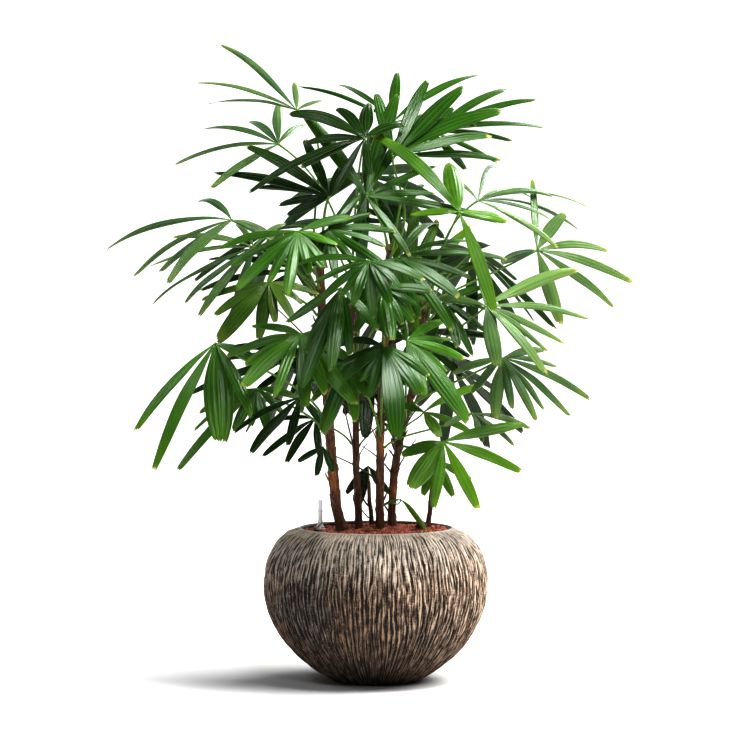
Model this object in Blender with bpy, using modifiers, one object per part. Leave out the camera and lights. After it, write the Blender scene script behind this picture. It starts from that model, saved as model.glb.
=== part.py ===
"""Lady palm in a globe planter, at its real size: +Z up, metres, seen from -Y, standing on z = 0.

Brown canes stand in a bed of clay granules. Each cane carries fronds: a thin stalk and, at its
end, a fan of pleated leaflets. A frond is one thin solid, cut in to the hub between its leaflets.
Run it with: blender --background --python part.py
"""

import math
from collections import namedtuple

import bmesh
import bpy
from mathutils import Matrix, Vector
from mathutils.bvhtree import BVHTree

CM = 0.01
FIT_GAP = 0.0003  # left between pieces that touch

# Planter: a globe with ridged walls, wider than high.
PLANTER_HEIGHT = 0.2715
PLANTER_RADIUS = 0.200
PLANTER_WIDEST_AT = 0.165
PLANTER_BASE_RADIUS = 0.078
PLANTER_LIP_RADIUS = 0.1405
PLANTER_MOUTH_RADIUS = 0.1335
PLANTER_WALL = 0.008
PLANTER_FLOOR = 0.030
LOWER_BULGE = 1.8  # exponent of the outline under the widest place
UPPER_BULGE = 2.5  # and above it
UPPER_DROP = 0.136  # semi-axis of the upper outline
PLANTER_RIBS = 24  # the main ones of its ridges
RIB_CREST = 0.0005  # how far a rib's crest lies inside the outline
RIB_DEPTH = 0.0036
TURN_STEPS = 32

# Liner: the plain inner pot, and the granules that fill it.
LINER_TOP_RADIUS = 0.1325
LINER_FOOT_RADIUS = 0.105
LINER_TOP = 0.2695
LINER_WALL = 0.0025
BED_TOP = 0.2660

# Water gauge: a clear tube on a flared foot, which stands on the granules.
GAUGE_AT = (-0.0985, -0.018)
GAUGE_FOOT_RADIUS = 0.0125
GAUGE_NECK_RADIUS = 0.0045
GAUGE_TUBE_RADIUS = 0.0040
GAUGE_HEIGHT = 0.056

# Leaflets: shares of their length or width.
LEAFLET_THICKNESS = 0.0024
CURVE_STEPS = 24
CUT_STEPS = (2, 8, 17, 24)  # where a leaflet's outline has a pair of points
HUB_SHARE = 2 / CURVE_STEPS
WIDEST_SHARE = 0.55
STEM_END_WIDTH = 0.17
TIP_WIDTH = 0.52
BASE_HALF_ANGLE = math.radians(17)
LEAST_SPREAD = math.radians(12)
CLOSED_GAP = math.radians(140)  # the web goes all round a hub whose widest gap is narrower
RING_GAP_SHARE = 0.38  # of the gap beside it that a leaflet takes at the hub's ring
NECK_GAP_SHARE = 0.44  # and at its first cut
CLEARANCE = 0.0008

# How a leaflet that would touch something is turned, lifted, shortened and narrowed, in this order.
Way = namedtuple("Way", "turn lift length width")
WAYS = [
    Way(turn, lift, length, width)
    for length, width in ((1.0, 1.0), (0.9, 0.85), (0.78, 0.7), (0.62, 0.6))
    for turn, lift in ((0, 0), (0, 8), (0, -8), (7, 4), (-7, 4), (0, 16), (0, -16), (12, -5), (-12, -5))
]

Cane = namedtuple("Cane", "name route radius flare")
CANES = [
    Cane("cane_left", [(-5.8, -1, 26.6), (-6.6, -1, 29), (-7.4, -1, 35), (-8.1, -1, 43),
                       (-8.9, -1, 55), (-9.6, 0, 66), (-10, 0, 76)], 0.90, 1.6),
    Cane("cane_slim", [(-3.1, 5, 26.6), (-3.1, 5, 29), (-3.5, 5, 37), (-3.6, 5, 45),
                       (-3.5, 5, 55), (-4, 5, 65), (-4.2, 5, 75)], 0.60, 1.3),
    Cane("cane_middle", [(0.7, 1.5, 26.6), (0.7, 1.5, 29), (0.75, 1.5, 38), (0.9, 1.5, 48),
                         (1.5, 2, 58), (2, 2, 67), (2.4, 2, 77)], 0.70, 1.5),
    Cane("cane_right", [(2.9, 6, 26.6), (2.9, 6, 29), (3.2, 6, 35), (4.3, 6, 42),
                        (6, 6, 49), (7.6, 5, 57), (8.8, 5, 66)], 0.72, 1.4),
    Cane("sucker_right", [(9.2, 2, 26.6), (9.4, 2, 28), (9.9, 2, 33), (10.2, 2, 36)], 0.42, 1.5),
    Cane("sucker_back", [(-0.8, 8, 26.6), (-0.8, 8, 28), (-1.2, 8, 32), (-1.2, 8, 34.5)], 0.36, 1.4),
]
CANE_TIP_SHARE = 0.72

# Fronds. Hubs and leaflet tips are in centimetres, right of the planter's axis and up from the
# floor, as they look from SEEN_FROM. away is how far the hub lies behind the axis. tilt is how far
# the fan's upper face leans forward from level, in degrees. A leaflet is (right, up) of its tip,
# with its own width as a third number where it differs from the frond's.
Frond = namedtuple("Frond", "name cane hub face spokes droop stalk climb")
Spoke = namedtuple("Spoke", "direction length width")
SEEN_FROM = Vector((-0.019, -5.0, 0.725))
LONGEST_LEAFLET = 0.30
CUPS = (0, 9, 18)  # degrees that leaflets fall from the fan's plane, by turns, like an umbrella's ribs
LEAN_PER_METRE = 32  # fans to the left lean left, and fans to the right lean right


def seen_point(right, up, away):
    """The point this far behind the planter's axis that looks this far right and up."""
    on_axis = Vector((right, 0, up))
    return SEEN_FROM + (on_axis - SEEN_FROM) * (away - SEEN_FROM.y) / -SEEN_FROM.y


def seen_place(point):
    """How far right and up a point looks: the other way round of seen_point."""
    share = -SEEN_FROM.y / (point.y - SEEN_FROM.y)
    seen = SEEN_FROM + (point - SEEN_FROM) * share
    return Vector((seen.x, seen.z))


def seen_direction(aim, face):
    """The direction in the fan's plane that looks like this aim, which is (right, up)."""
    away = -(face.x * aim.x + face.z * aim.y) / face.y
    return Vector((aim.x, away, aim.y)).normalized()


def bent_curve(start, direction, face, length, droop):
    """Points, directions and faces along a leaflet that gravity bends down more towards its tip."""
    points, directions, faces = [start.copy()], [direction.copy()], [face.copy()]
    for step in range(1, CURVE_STEPS + 1):
        middle = (step - 0.5) / CURVE_STEPS
        heading = (direction + Vector((0, 0, -droop * middle**1.3))).normalized()
        face = (face - heading * face.dot(heading)).normalized()
        points.append(points[-1] + heading * (length / CURVE_STEPS))
        directions.append(heading)
        faces.append(face)
    return points, directions, faces


def spoke_to(tip, hub, face, droop, width, cup):
    """The start and length of the leaflet that bends down to this tip: aimed, compared, corrected."""
    target = Vector(tip) - seen_place(hub)
    aim = target.copy()
    for _ in range(16):
        flat = seen_direction(aim, face)
        length = min(aim.length / math.hypot(flat.x, flat.z), LONGEST_LEAFLET)
        direction = flat * math.cos(cup) - face * math.sin(cup)
        end = bent_curve(hub, direction, face, length, droop)[0][-1]
        aim += (target - (seen_place(end) - seen_place(hub))) * 0.7
    return Spoke(direction, length, width)


def frond(name, cane, hub, tilt, tips, width=2.0, droop=0.5, stalk=0.22, climb=0.6):
    """A frond of the front, whose leaflets are read off the front view."""
    right, away, up = (size * CM for size in hub)
    hub = seen_point(right, up, away)
    tilt, lean = math.radians(tilt), math.radians(hub.x * LEAN_PER_METRE)
    face = Vector((math.sin(lean), -math.sin(tilt) * math.cos(lean), math.cos(tilt) * math.cos(lean)))
    spokes = []
    for index, tip in enumerate(tips):
        own_width = tip[2] if len(tip) > 2 else width
        cup = math.radians(CUPS[index % len(CUPS)])
        spokes.append(spoke_to((tip[0] * CM, tip[1] * CM), hub, face, droop, own_width * CM, cup))
    return Frond(name, cane, hub, face, spokes, droop, stalk * CM, climb)


def back_frond(name, cane, turn, out, up, tilt=38, count=9, length=22, width=2.6, droop=0.6):
    """A frond of the back: out from the axis at this turn (90 is straight back), leaning outwards."""
    turn, tilt = math.radians(turn), math.radians(tilt)
    outward = Vector((math.cos(turn), math.sin(turn), 0))
    face = outward * math.sin(tilt) + Vector((0, 0, math.cos(tilt)))
    middle = outward * math.cos(tilt) - Vector((0, 0, math.sin(tilt)))
    spokes = []
    for index in range(count):
        angle = math.radians(-125 + 250 * index / (count - 1))
        reach = length * (0.72 + 0.28 * math.cos(angle)) * CM
        cup = math.radians(CUPS[index % len(CUPS)])
        direction = Matrix.Rotation(angle, 3, face) @ (middle * math.cos(cup) - face * math.sin(cup))
        spokes.append(Spoke(direction, reach, width * CM))
    hub = outward * out * CM + Vector((0, 0, up * CM))
    return Frond(name, cane, hub, face, spokes, droop, 0.0022, 0.6)


FRONDS = [
    frond("top_left", "cane_left", (-14, 2, 101), 42,
          [(-28, 113, 2.4), (-34.3, 107.8), (-34, 105), (-14.5, 106), (-9, 104), (-4.5, 98, 2.4)],
          droop=0.35),
    frond("top_left_fan", "cane_slim", (-17.3, 12, 95), 46,
          [(-17.5, 102.3, 2.3), (-30.6, 97.6), (-35.6, 91.3), (-29.2, 87.3, 2.4), (-22.5, 99),
           (-12.5, 98.5)]),
    frond("upper_left", "cane_left", (-8.3, -5, 85.7), 52,
          [(-23, 94.7, 2.4), (-30.3, 92.8), (-15.8, 82.6, 2.4), (-5.2, 92.2), (-0.2, 89.8),
           (-21, 87.5, 1.5), (-12.5, 93.5)],
          droop=0.35, stalk=0.3),
    frond("crest_left", "cane_slim", (-2, -9, 96), 50,
          [(-15.5, 100.2, 2.4), (-22.7, 86.7), (-13.5, 91), (-1.3, 102.3, 2.6), (5, 98.5), (-1, 89.5, 1.6)],
          droop=0.6),
    frond("crest_middle", "cane_middle", (-1.7, -8, 85.8), 60,
          [(-12.5, 98.5, 2.6), (3.3, 104, 3), (9.2, 102.5), (22.8, 81.2), (10.5, 86.3, 1.6),
           (-6, 99, 2.4), (-4, 76.5)],
          droop=0.3),
    frond("crest_right", "cane_middle", (3, -4, 93), 58,
          [(9.3, 106.3, 2.4), (15.7, 105.3, 3), (23, 101.6, 2.8), (20.5, 96.4), (22.3, 92.1, 1.4),
           (0, 104, 2.4)],
          droop=0.3),
    frond("crest_back", "cane_middle", (10, 15, 97), 48,
          [(28.3, 102.9), (29.7, 98), (24.2, 95.8), (13.7, 101.5), (23.3, 104.8), (16, 90.5)], 1.7, 0.4),
    frond("crest_far", "cane_slim", (3, 8, 99), 46,
          [(3.7, 107.7, 2.6), (-13.8, 105.2, 1.5), (-7.5, 106.4, 1.5), (12.5, 94.5), (19.2, 108.3, 2.3)],
          2, 0.4),
    frond("right_bright", "cane_right", (14.7, -16, 83), 52,
          [(2.2, 96.7, 2.5), (13, 91.8, 3.6), (21.2, 65.2, 2.4), (23.4, 81.4, 2.2), (6, 82.5)]),
    frond("right_arching", "cane_right", (18, 2, 85), 40,
          [(31.2, 86), (39, 84.2), (35.8, 80.2), (32.3, 76.6), (21.5, 91), (10, 90)], 1.5, 0.65),
    frond("far_right", "cane_middle", (28.5, 4, 76.3), 62,
          [(27.5, 89, 1.4), (33.7, 82.8, 2.4), (41.2, 76.2), (45.6, 70.6), (42.2, 66), (32.8, 63, 2.7),
           (22, 74)],
          1.8, 0.45),
    frond("mid_right", "cane_right", (19.5, -12, 66.4), 50,
          [(36, 72.8, 2.5), (38, 64, 1.7), (33.5, 59.8), (30.5, 54.2), (21.5, 55.5, 2.8), (9.8, 67.8)],
          1.8, 0.45),
    frond("low_right", "cane_middle", (22.5, -4, 57.2), 52,
          [(30, 58.5), (38, 49.9), (34.4, 46.8), (28.4, 46), (21, 46.4, 2.4), (13.5, 54.5)], 1.6),
    frond("small_right", "cane_middle", (17.2, -8, 47.4), 44,
          [(27.5, 44.6), (24.6, 41.6), (19, 42.2), (12, 45)], 1.3, 0.6, stalk=0.18, climb=0.35),
    frond("bottom_right", "cane_right", (12, -13, 42.3), 56,
          [(26.5, 45.5, 2.3), (25.8, 37), (18.2, 30.2, 2.2), (10.4, 30.5), (6, 34, 3.6), (4.5, 40, 2.4)],
          2, 0.3,
          climb=0.1),
    frond("sucker_leaf", "sucker_right", (11, -3, 38.6), 52,
          [(13.8, 32.6), (8.2, 32.8), (17, 35.6)], 1.8, 0.5, stalk=0.18),
    frond("inner_right", "cane_right", (8.5, -3, 47.6), 46,
          [(11.3, 42.6, 2.2), (19.4, 52.6), (17, 44), (4.2, 49)], 1.7, 0.4, stalk=0.18, climb=0.4),
    frond("front_right", "cane_right", (5.5, -19, 60.2), 56,
          [(16.5, 45.8, 3.2), (15.8, 57), (12.5, 64), (8.5, 49.5, 2.6), (-2, 64), (12, 50.5)], 2, 0.4),
    frond("front_middle", "cane_middle", (1.5, -24, 59.2), 46,
          [(3.9, 42.7, 3.8), (-5.8, 53.4, 2.4), (-7.5, 59), (9.5, 54), (-1.2, 50)], 2, 0.7),
    frond("front_left", "cane_left", (-13.3, -18, 61.4), 50,
          [(-23.7, 52, 3), (-26.5, 57.5, 2), (-3.6, 48.8, 3.2), (-12.4, 48.5, 2.6), (-22, 63), (-4, 60),
           (-18, 49)]),
    frond("front_low", "cane_middle", (-5, -18, 56.8), 52,
          [(-10, 45, 2.9), (-14, 52, 2.2), (-3.5, 46, 2.2), (0.5, 52), (-14, 57.5)], 2, 0.4),
    frond("big_left", "cane_left", (-28.5, -12, 59.8), 50,
          [(-42.8, 44.2, 1.8), (-39.6, 37.2, 2.6), (-27.5, 42.2, 5.2), (-22, 46.5), (-20.5, 56)], 2, 0.6),
    frond("low_left", "cane_left", (-21.2, 0, 51.8), 46,
          [(-35.2, 37.2), (-25.4, 44.2, 2.3), (-31.5, 47.5), (-13.5, 50), (-19, 43.5)], 1.9),
    frond("lower_left", "cane_left", (-13.5, -8, 50.2), 44,
          [(-25.2, 44), (-22.4, 40.2, 1.9), (-15.5, 41.5), (-8.5, 44.5)], 1.6),
    frond("bottom_left", "cane_slim", (-10.8, 6, 46.4), 44,
          [(-20.2, 39.6), (-16, 38.6, 1.6), (-19.8, 45.6), (-10, 39.5)], 1.4, stalk=0.18),
    frond("dark_left", "cane_slim", (-12, 9, 57.4), 42,
          [(-33, 50.8), (-25.8, 59), (-21.5, 51, 2.2), (-28.8, 55), (-10.5, 50), (-17, 63)], 1.8, 0.4),
    frond("outer_left", "cane_left", (-25.5, -3, 81.6), 42,
          [(-31.5, 85), (-49, 76.4), (-43, 71.6), (-37, 70.4, 3.2), (-18, 78, 2.4)], 1.8, 0.75),
    frond("mid_left", "cane_left", (-21.6, 3, 76.8), 42,
          [(-36, 78.6), (-40.2, 73.4), (-39.6, 66.8), (-31.5, 64.6, 2.2), (-16, 81), (-25, 68)], 1.7, 0.5),
    frond("left_front", "cane_left", (-13.8, -16, 79.6), 46,
          [(-25, 69.4, 2.6), (-8.9, 73, 2.8), (-28, 76.5), (-16, 68, 2.2), (-4.5, 80)], 2, 0.45),
    frond("left_back", "cane_left", (-14, 10, 72.8), 40,
          [(-29.6, 74.8), (-31.4, 69), (-25.6, 64.6, 2.2), (-9, 79), (-20, 79), (-21, 66)], 1.8, 0.45),
    frond("olive_left", "cane_left", (-19, -3, 70.6), 48,
          [(-28.2, 60, 3.4), (-31, 67.4), (-21, 60.5, 2.6), (-14.5, 64), (-10, 68.5)], 1.8, 0.35),
    frond("middle_arch", "cane_slim", (-8.6, -15, 80), 46,
          [(2.5, 73, 2.1), (3.6, 79.6), (-14.5, 73.8, 2), (-2.5, 85), (-7, 70.5)], 1.7, 0.4),
    frond("middle_hanging", "cane_slim", (-1.2, -26, 74.4), 44,
          [(-4.1, 66.5), (2.6, 66.8, 2.2), (-14, 71.8), (8.5, 71), (-10, 67.5), (-0.5, 64.5)], 1.9, 0.6),
    frond("middle_right", "cane_middle", (4, -13, 75), 46,
          [(14.8, 68, 2.5), (13.6, 61.8), (4.4, 62, 2.3), (23.2, 74.8, 1.8), (-4, 70.5), (11, 81)], 2),
    frond("inner_hanging", "cane_slim", (-6.2, -21, 69.6), 46,
          [(-8, 54.8, 2.6), (-13, 51.8, 2.4), (-4.4, 57.6), (-16, 63.5), (0.5, 62), (-12.5, 58)], 1.9),
    frond("inner_drop", "cane_middle", (1.2, -19, 69.8), 52,
          [(2.7, 59.4, 3), (-3.8, 61.5), (6.6, 63.4), (10, 69), (-6, 67)], 1.9, 0.35),
    frond("upright", "cane_right", (5.4, 11, 68.8), 66,
          [(7, 84.4, 2.4), (11, 81.7, 2.2), (17, 80.7), (19, 75.2), (7.6, 60, 2.4), (2, 82)], 2, 0.15),
    frond("inner_dark", "cane_right", (7.4, 12, 61.8), 46,
          [(20.5, 69), (21, 61), (15.5, 53.8, 2.4), (-2, 67), (4, 52, 2.4), (10.5, 51)], 2, 0.35),
    frond("right_hanging", "cane_right", (12, -5, 67.2), 44,
          [(14.5, 59, 2.1), (18.8, 61), (9, 58.5), (20, 70), (17, 57.5)], 1.7, 0.4),
    frond("small_back", "cane_middle", (3.5, 20, 81), 46,
          [(2.5, 90, 2), (8.5, 88), (13, 83.5), (-4, 88.5), (-7.5, 81.5)], 1.7, 0.35),
    frond("hanging_dark", "cane_slim", (-1.5, 10, 55.4), 42,
          [(-1.8, 42.8, 2.8), (5.8, 46.5, 2.4), (-8.5, 48.5), (6, 58), (2, 46)], 2),
    frond("cane_leaf", "cane_left", (-9.4, -9, 41.4), 44,
          [(-13.9, 38.8), (-10.6, 36.2), (-7.4, 37)], 1.3, 0.4, stalk=0.16, climb=0.3),
    frond("back_shoot", "sucker_back", (-1.4, 13, 38), 40,
          [(-1.6, 30.4, 2), (-5.5, 33.5), (2.5, 33)], 1.6, 0.4, stalk=0.16),
    frond("rim_leaf", "cane_right", (4.4, -5, 32), 30,
          [(8.8, 25.8, 1.2), (1, 31)], 1.1, 0.9, stalk=0.14, climb=0.05),
    back_frond("back_high", "cane_middle", 95, 20, 90),
    back_frond("back_right", "cane_right", 40, 23, 76),
    back_frond("back_left", "cane_left", 140, 24, 80),
    back_frond("back_middle", "cane_slim", 85, 26, 67),
    back_frond("back_low_right", "cane_right", 50, 22, 55, length=19),
    back_frond("back_low_left", "cane_slim", 130, 21, 58, length=19),
]


def new_collection(name, hidden=False):
    collection = bpy.data.collections.new(name)
    collection.hide_render = hidden
    bpy.context.scene.collection.children.link(collection)
    return collection


def material(name, colour, roughness, metallic=0.0):
    made = bpy.data.materials.new(name)
    made.use_nodes = True
    shader = made.node_tree.nodes["Principled BSDF"]
    shader.inputs["Base Color"].default_value = (*colour, 1)
    shader.inputs["Roughness"].default_value = roughness
    shader.inputs["Metallic"].default_value = metallic
    return made


def mesh_object(name, mesh, collection, finish=None):
    made = bpy.data.objects.new(name, mesh)
    collection.objects.link(made)
    if finish:
        mesh.materials.append(finish)
    return made


def applied(obj):
    """The object's mesh with its modifiers in it, in place of the ones that it had."""
    graph = bpy.context.evaluated_depsgraph_get()
    mesh = bpy.data.meshes.new_from_object(obj.evaluated_get(graph))
    obj.modifiers.clear()
    obj.data = mesh
    return obj


def tube(name, points, radii, collection, resolution, finish=None):
    """A closed tube through the points, made from a bevelled curve."""
    curve = bpy.data.curves.new(name, "CURVE")
    curve.dimensions = "3D"
    curve.bevel_depth = 1.0
    curve.bevel_resolution = resolution
    curve.use_fill_caps = True
    spline = curve.splines.new("POLY")
    spline.points.add(len(points) - 1)
    for place, point, radius in zip(spline.points, points, radii):
        place.co = (*point, 1)
        place.radius = radius
    drawn = bpy.data.objects.new(name + "_curve", curve)
    collection.objects.link(drawn)
    graph = bpy.context.evaluated_depsgraph_get()
    mesh = bpy.data.meshes.new_from_object(drawn.evaluated_get(graph))
    bpy.data.objects.remove(drawn)
    welded = bmesh.new()
    welded.from_mesh(mesh)
    bmesh.ops.remove_doubles(welded, verts=welded.verts, dist=1e-5)
    bmesh.ops.recalc_face_normals(welded, faces=welded.faces)
    welded.to_mesh(mesh)
    welded.free()
    return mesh_object(name, mesh, collection, finish)


def turned(name, profile, collection, finish, centre=(0, 0), steps=TURN_STEPS):
    """A turned solid from (radius, height) pairs that start and end on the axis."""
    mesh = bpy.data.meshes.new(name)
    mesh.from_pydata([(r, 0, z) for r, z in profile], [(i, i + 1) for i in range(len(profile) - 1)], [])
    made = mesh_object(name, mesh, collection, finish)
    screw = made.modifiers.new("turn", "SCREW")
    screw.steps = screw.render_steps = steps
    screw.use_merge_vertices = True
    screw.merge_threshold = 0.00001
    made.location = (*centre, 0)
    return made


def planter_radius(height):
    """Outer radius of the planter: two bulges of unlike fullness that meet at the widest place."""
    if height < PLANTER_WIDEST_AT:
        base_share = 1 - (PLANTER_BASE_RADIUS / PLANTER_RADIUS) ** LOWER_BULGE
        semi_axis, bulge = PLANTER_WIDEST_AT / base_share ** (1 / LOWER_BULGE), LOWER_BULGE
    else:
        semi_axis, bulge = UPPER_DROP, UPPER_BULGE
    share = abs(height - PLANTER_WIDEST_AT) / semi_axis
    return PLANTER_RADIUS * (1 - share**bulge) ** (1 / bulge)


def planter(collection, finish):
    lip_height = PLANTER_HEIGHT - 0.004
    rows = 12
    outer = [(planter_radius(lip_height * i / rows), lip_height * i / rows) for i in range(rows + 1)]
    inner = [
        (max(planter_radius(z) - PLANTER_WALL, 0.07), max(z, PLANTER_FLOOR))
        for z in (0.238, 0.18, 0.11, 0.055, PLANTER_FLOOR)
    ]
    lip = [(PLANTER_LIP_RADIUS, PLANTER_HEIGHT), (PLANTER_MOUTH_RADIUS, PLANTER_HEIGHT)]
    throat = [(PLANTER_MOUTH_RADIUS, lip_height - 0.006)]
    profile = [(0, 0), *outer, *lip, *throat, *inner, (0, PLANTER_FLOOR)]
    made = applied(turned("planter", profile[::-1], collection, finish, steps=2 * PLANTER_RIBS))
    for corner in made.data.vertices:  # every second meridian of the wall becomes a groove
        place = corner.co
        on_wall = 0.012 < place.z < lip_height - 0.012 and place.xy.length > planter_radius(place.z) - 0.001
        if on_wall:
            meridian = round(math.atan2(place.y, place.x) * PLANTER_RIBS / math.pi)
            depth = RIB_CREST + (RIB_DEPTH if meridian % 2 else 0)
            shrink = 1 - depth / place.xy.length
            place.x *= shrink
            place.y *= shrink
    return made


def liner(collection, finish):
    foot = PLANTER_FLOOR + FIT_GAP
    inner_foot = foot + LINER_WALL
    profile = [
        (0, foot),
        (LINER_FOOT_RADIUS, foot),
        (LINER_TOP_RADIUS, LINER_TOP),
        (LINER_TOP_RADIUS - LINER_WALL, LINER_TOP),
        (LINER_FOOT_RADIUS - LINER_WALL, inner_foot),
        (0, inner_foot),
    ]
    return turned("liner", profile[::-1], collection, finish)


def granule_bed(collection, finish):
    foot = PLANTER_FLOOR + LINER_WALL + 2 * FIT_GAP
    slope = (LINER_TOP_RADIUS - LINER_FOOT_RADIUS) / (LINER_TOP - PLANTER_FLOOR)
    foot_radius = LINER_FOOT_RADIUS - LINER_WALL - 3 * FIT_GAP
    top_radius = foot_radius + slope * (BED_TOP - foot)
    profile = [(0, foot), (foot_radius, foot), (top_radius, BED_TOP), (0, BED_TOP)]
    return turned("granule_bed", profile[::-1], collection, finish)


def water_gauge(collection, finish):
    foot = BED_TOP + FIT_GAP
    profile = [
        (0, foot),
        (GAUGE_FOOT_RADIUS, foot),
        (GAUGE_FOOT_RADIUS, foot + 0.0025),
        (GAUGE_NECK_RADIUS, foot + 0.011),
        (GAUGE_NECK_RADIUS, foot + 0.016),
        (GAUGE_TUBE_RADIUS, foot + 0.0165),
        (GAUGE_TUBE_RADIUS, foot + GAUGE_HEIGHT),
        (0, foot + GAUGE_HEIGHT),
    ]
    return turned("water_gauge", profile[::-1], collection, finish, GAUGE_AT, 14)


def cane(shape, collection, finish):
    """A cane tapers from its flared foot, cut flat on the bed, to its tip."""
    points = [Vector(p) * CM for p in shape.route]
    points[0].z = BED_TOP + FIT_GAP
    tall = points[-1].z - points[0].z
    radii = []
    for index, point in enumerate(points):
        taper = 1 - (1 - CANE_TIP_SHARE) * (point.z - points[0].z) / tall
        radii.append(shape.radius * CM * taper * (shape.flare if index == 0 else 1))
    made = tube(shape.name, points, radii, collection, 1, finish)
    for corner in made.data.vertices:  # levels the cut
        if corner.co.z < points[1].z - (points[1].z - points[0].z) / 2:
            corner.co.z = points[0].z
    return made


def width_share(share):
    """Width of a leaflet at this share of its length: slim at the hub, blunt at the tip."""
    if share < WIDEST_SHARE:
        rise = share / WIDEST_SHARE
        return STEM_END_WIDTH + (1 - STEM_END_WIDTH) * math.sin(rise * math.pi / 2) ** 1.15
    return 1 - (1 - TIP_WIDTH) * ((share - WIDEST_SHARE) / (1 - WIDEST_SHARE)) ** 2.6


class Leaflet:
    """One leaflet of a frond: its middle line, and the pair of edge points at each cut."""

    def __init__(self, shape, spoke, way):
        direction = Matrix.Rotation(math.radians(way.turn), 3, shape.face) @ spoke.direction
        across = direction.cross(shape.face)
        direction = Matrix.Rotation(math.radians(way.lift), 3, across) @ direction
        self.direction, self.face = direction, across.cross(direction)
        self.length = spoke.length * way.length
        self.width = spoke.width * way.width
        self.curve = bent_curve(shape.hub, direction, self.face, self.length, shape.droop)

    def edges(self, step, margin=0.0):
        points, directions, faces = self.curve
        side = directions[step].cross(faces[step]).normalized()
        half = self.width * width_share(step / CURVE_STEPS) / 2 + margin
        return points[step] - side * half, points[step] + side * half, faces[step]

    def probe(self, first_step=2):
        """A closed strip round the leaflet, a little larger than it, to test what it touches."""
        corners, sides = [], []
        steps = [s for s in (first_step, *CUT_STEPS[1:])]
        for step in steps:
            left, right, face = self.edges(step, CLEARANCE)
            lift = face * (LEAFLET_THICKNESS / 2 + CLEARANCE)
            corners += [left + lift, right + lift, right - lift, left - lift]
        for row in range(len(steps) - 1):
            a, b = 4 * row, 4 * row + 4
            sides += [(a + i, a + (i + 1) % 4, b + (i + 1) % 4, b + i) for i in range(4)]
        sides += [(0, 1, 2, 3), tuple(4 * (len(steps) - 1) + i for i in range(4))]
        return Probe(corners, sides)


class Probe:
    """A mesh with its box, for quick tests of whether two shapes touch."""

    def __init__(self, corners, faces):
        self.tree = BVHTree.FromPolygons(corners, faces)
        self.low = [min(c[i] for c in corners) for i in range(3)]
        self.high = [max(c[i] for c in corners) for i in range(3)]

    def touches(self, other):
        apart = any(self.low[i] > other.high[i] or other.low[i] > self.high[i] for i in range(3))
        return not apart and bool(self.tree.overlap(other.tree))


def shell_of(obj):
    """The corners and faces of a mesh object."""
    mesh = obj.data
    return [v.co.copy() for v in mesh.vertices], [tuple(p.vertices) for p in mesh.polygons]


def hub_guard(shape):
    """Corners and faces of a flat drum round the web that joins a fan's leaflets at its hub."""
    radius = 1.15 * HUB_SHARE * sum(s.length for s in shape.spokes) / len(shape.spokes)
    zero = shape.spokes[0].direction
    zero = (zero - shape.face * zero.dot(shape.face)).normalized()
    beside = shape.face.cross(zero)
    corners = []
    for level in (0.003, -0.002 - 0.3 * radius):
        for turn in range(8):
            angle = math.radians(45 * turn)
            rim = zero * math.cos(angle) + beside * math.sin(angle)
            corners.append(shape.hub + rim * radius + shape.face * level)
    sides = [(i, (i + 1) % 8, 8 + (i + 1) % 8, 8 + i) for i in range(8)]
    return corners, [*sides, tuple(range(8)), tuple(range(15, 7, -1))]


def joined_shells(first, second):
    shift = len(first[0])
    return first[0] + second[0], first[1] + [tuple(i + shift for i in face) for face in second[1]]


def bezier(a, b, c, d, share):
    rest = 1 - share
    return a * rest**3 + b * 3 * rest**2 * share + c * 3 * rest * share**2 + d * share**3


STALK_STEPS = 5
STALK_WAYS = [(drop, swing) for drop in range(0, 30, 3) for swing in (0, 0.03, -0.03, 0.06, -0.06)]


def cane_axis_at(shape, height):
    """The point of the cane's axis at this height, in metres."""
    route = [Vector(p) * CM for p in shape.route]
    for low, high in zip(route, route[1:]):
        if height <= high.z:
            share = max(0.0, (height - low.z) / (high.z - low.z))
            return low.lerp(high, share)
    return route[-1]


def stalk_curve(shape, cane_shape, cane_probe, drop, swing):
    """A stalk leaves the cane square to its surface, climbs, and arches over to the fan's hub."""
    top = cane_shape.route[-1][2] * CM
    foot = cane_shape.route[0][2] * CM
    reach = (shape.hub.xy - cane_axis_at(cane_shape, shape.hub.z).xy).length
    height = min(top - 0.006, shape.hub.z - max(0.015, shape.climb * reach)) - drop * CM / 2
    height = max(height, foot + 0.02)
    axis_point = cane_axis_at(cane_shape, height)
    outward = Vector((shape.hub.x - axis_point.x, shape.hub.y - axis_point.y, 0)).normalized()
    hit, normal, _, _ = cane_probe.tree.ray_cast(axis_point + outward * 0.05, -outward)
    start = hit + normal * FIT_GAP
    leave = start + normal * 0.004
    across = outward.cross(Vector((0, 0, 1)))
    rise = shape.hub.z - leave.z
    climb = leave + outward * (0.15 * reach) + Vector((0, 0, 0.45 * rise)) + across * swing
    arrive = shape.hub - (outward + Vector((0, 0, 0.6))).normalized() * (0.35 * (shape.hub - leave).length)
    shares = [i / (STALK_STEPS - 1) for i in range(STALK_STEPS)]
    points = [start, *(bezier(leave, climb, arrive, shape.hub, s) for s in shares)]
    end = points[-1] - points[-2]
    points.append(shape.hub + end.normalized() * 0.002)
    thick = shape.stalk
    radii = [thick * 1.25, thick * 1.25, *(thick * (1.2 - 0.35 * s) for s in shares[1:]), thick * 0.7]
    return points, radii


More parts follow.
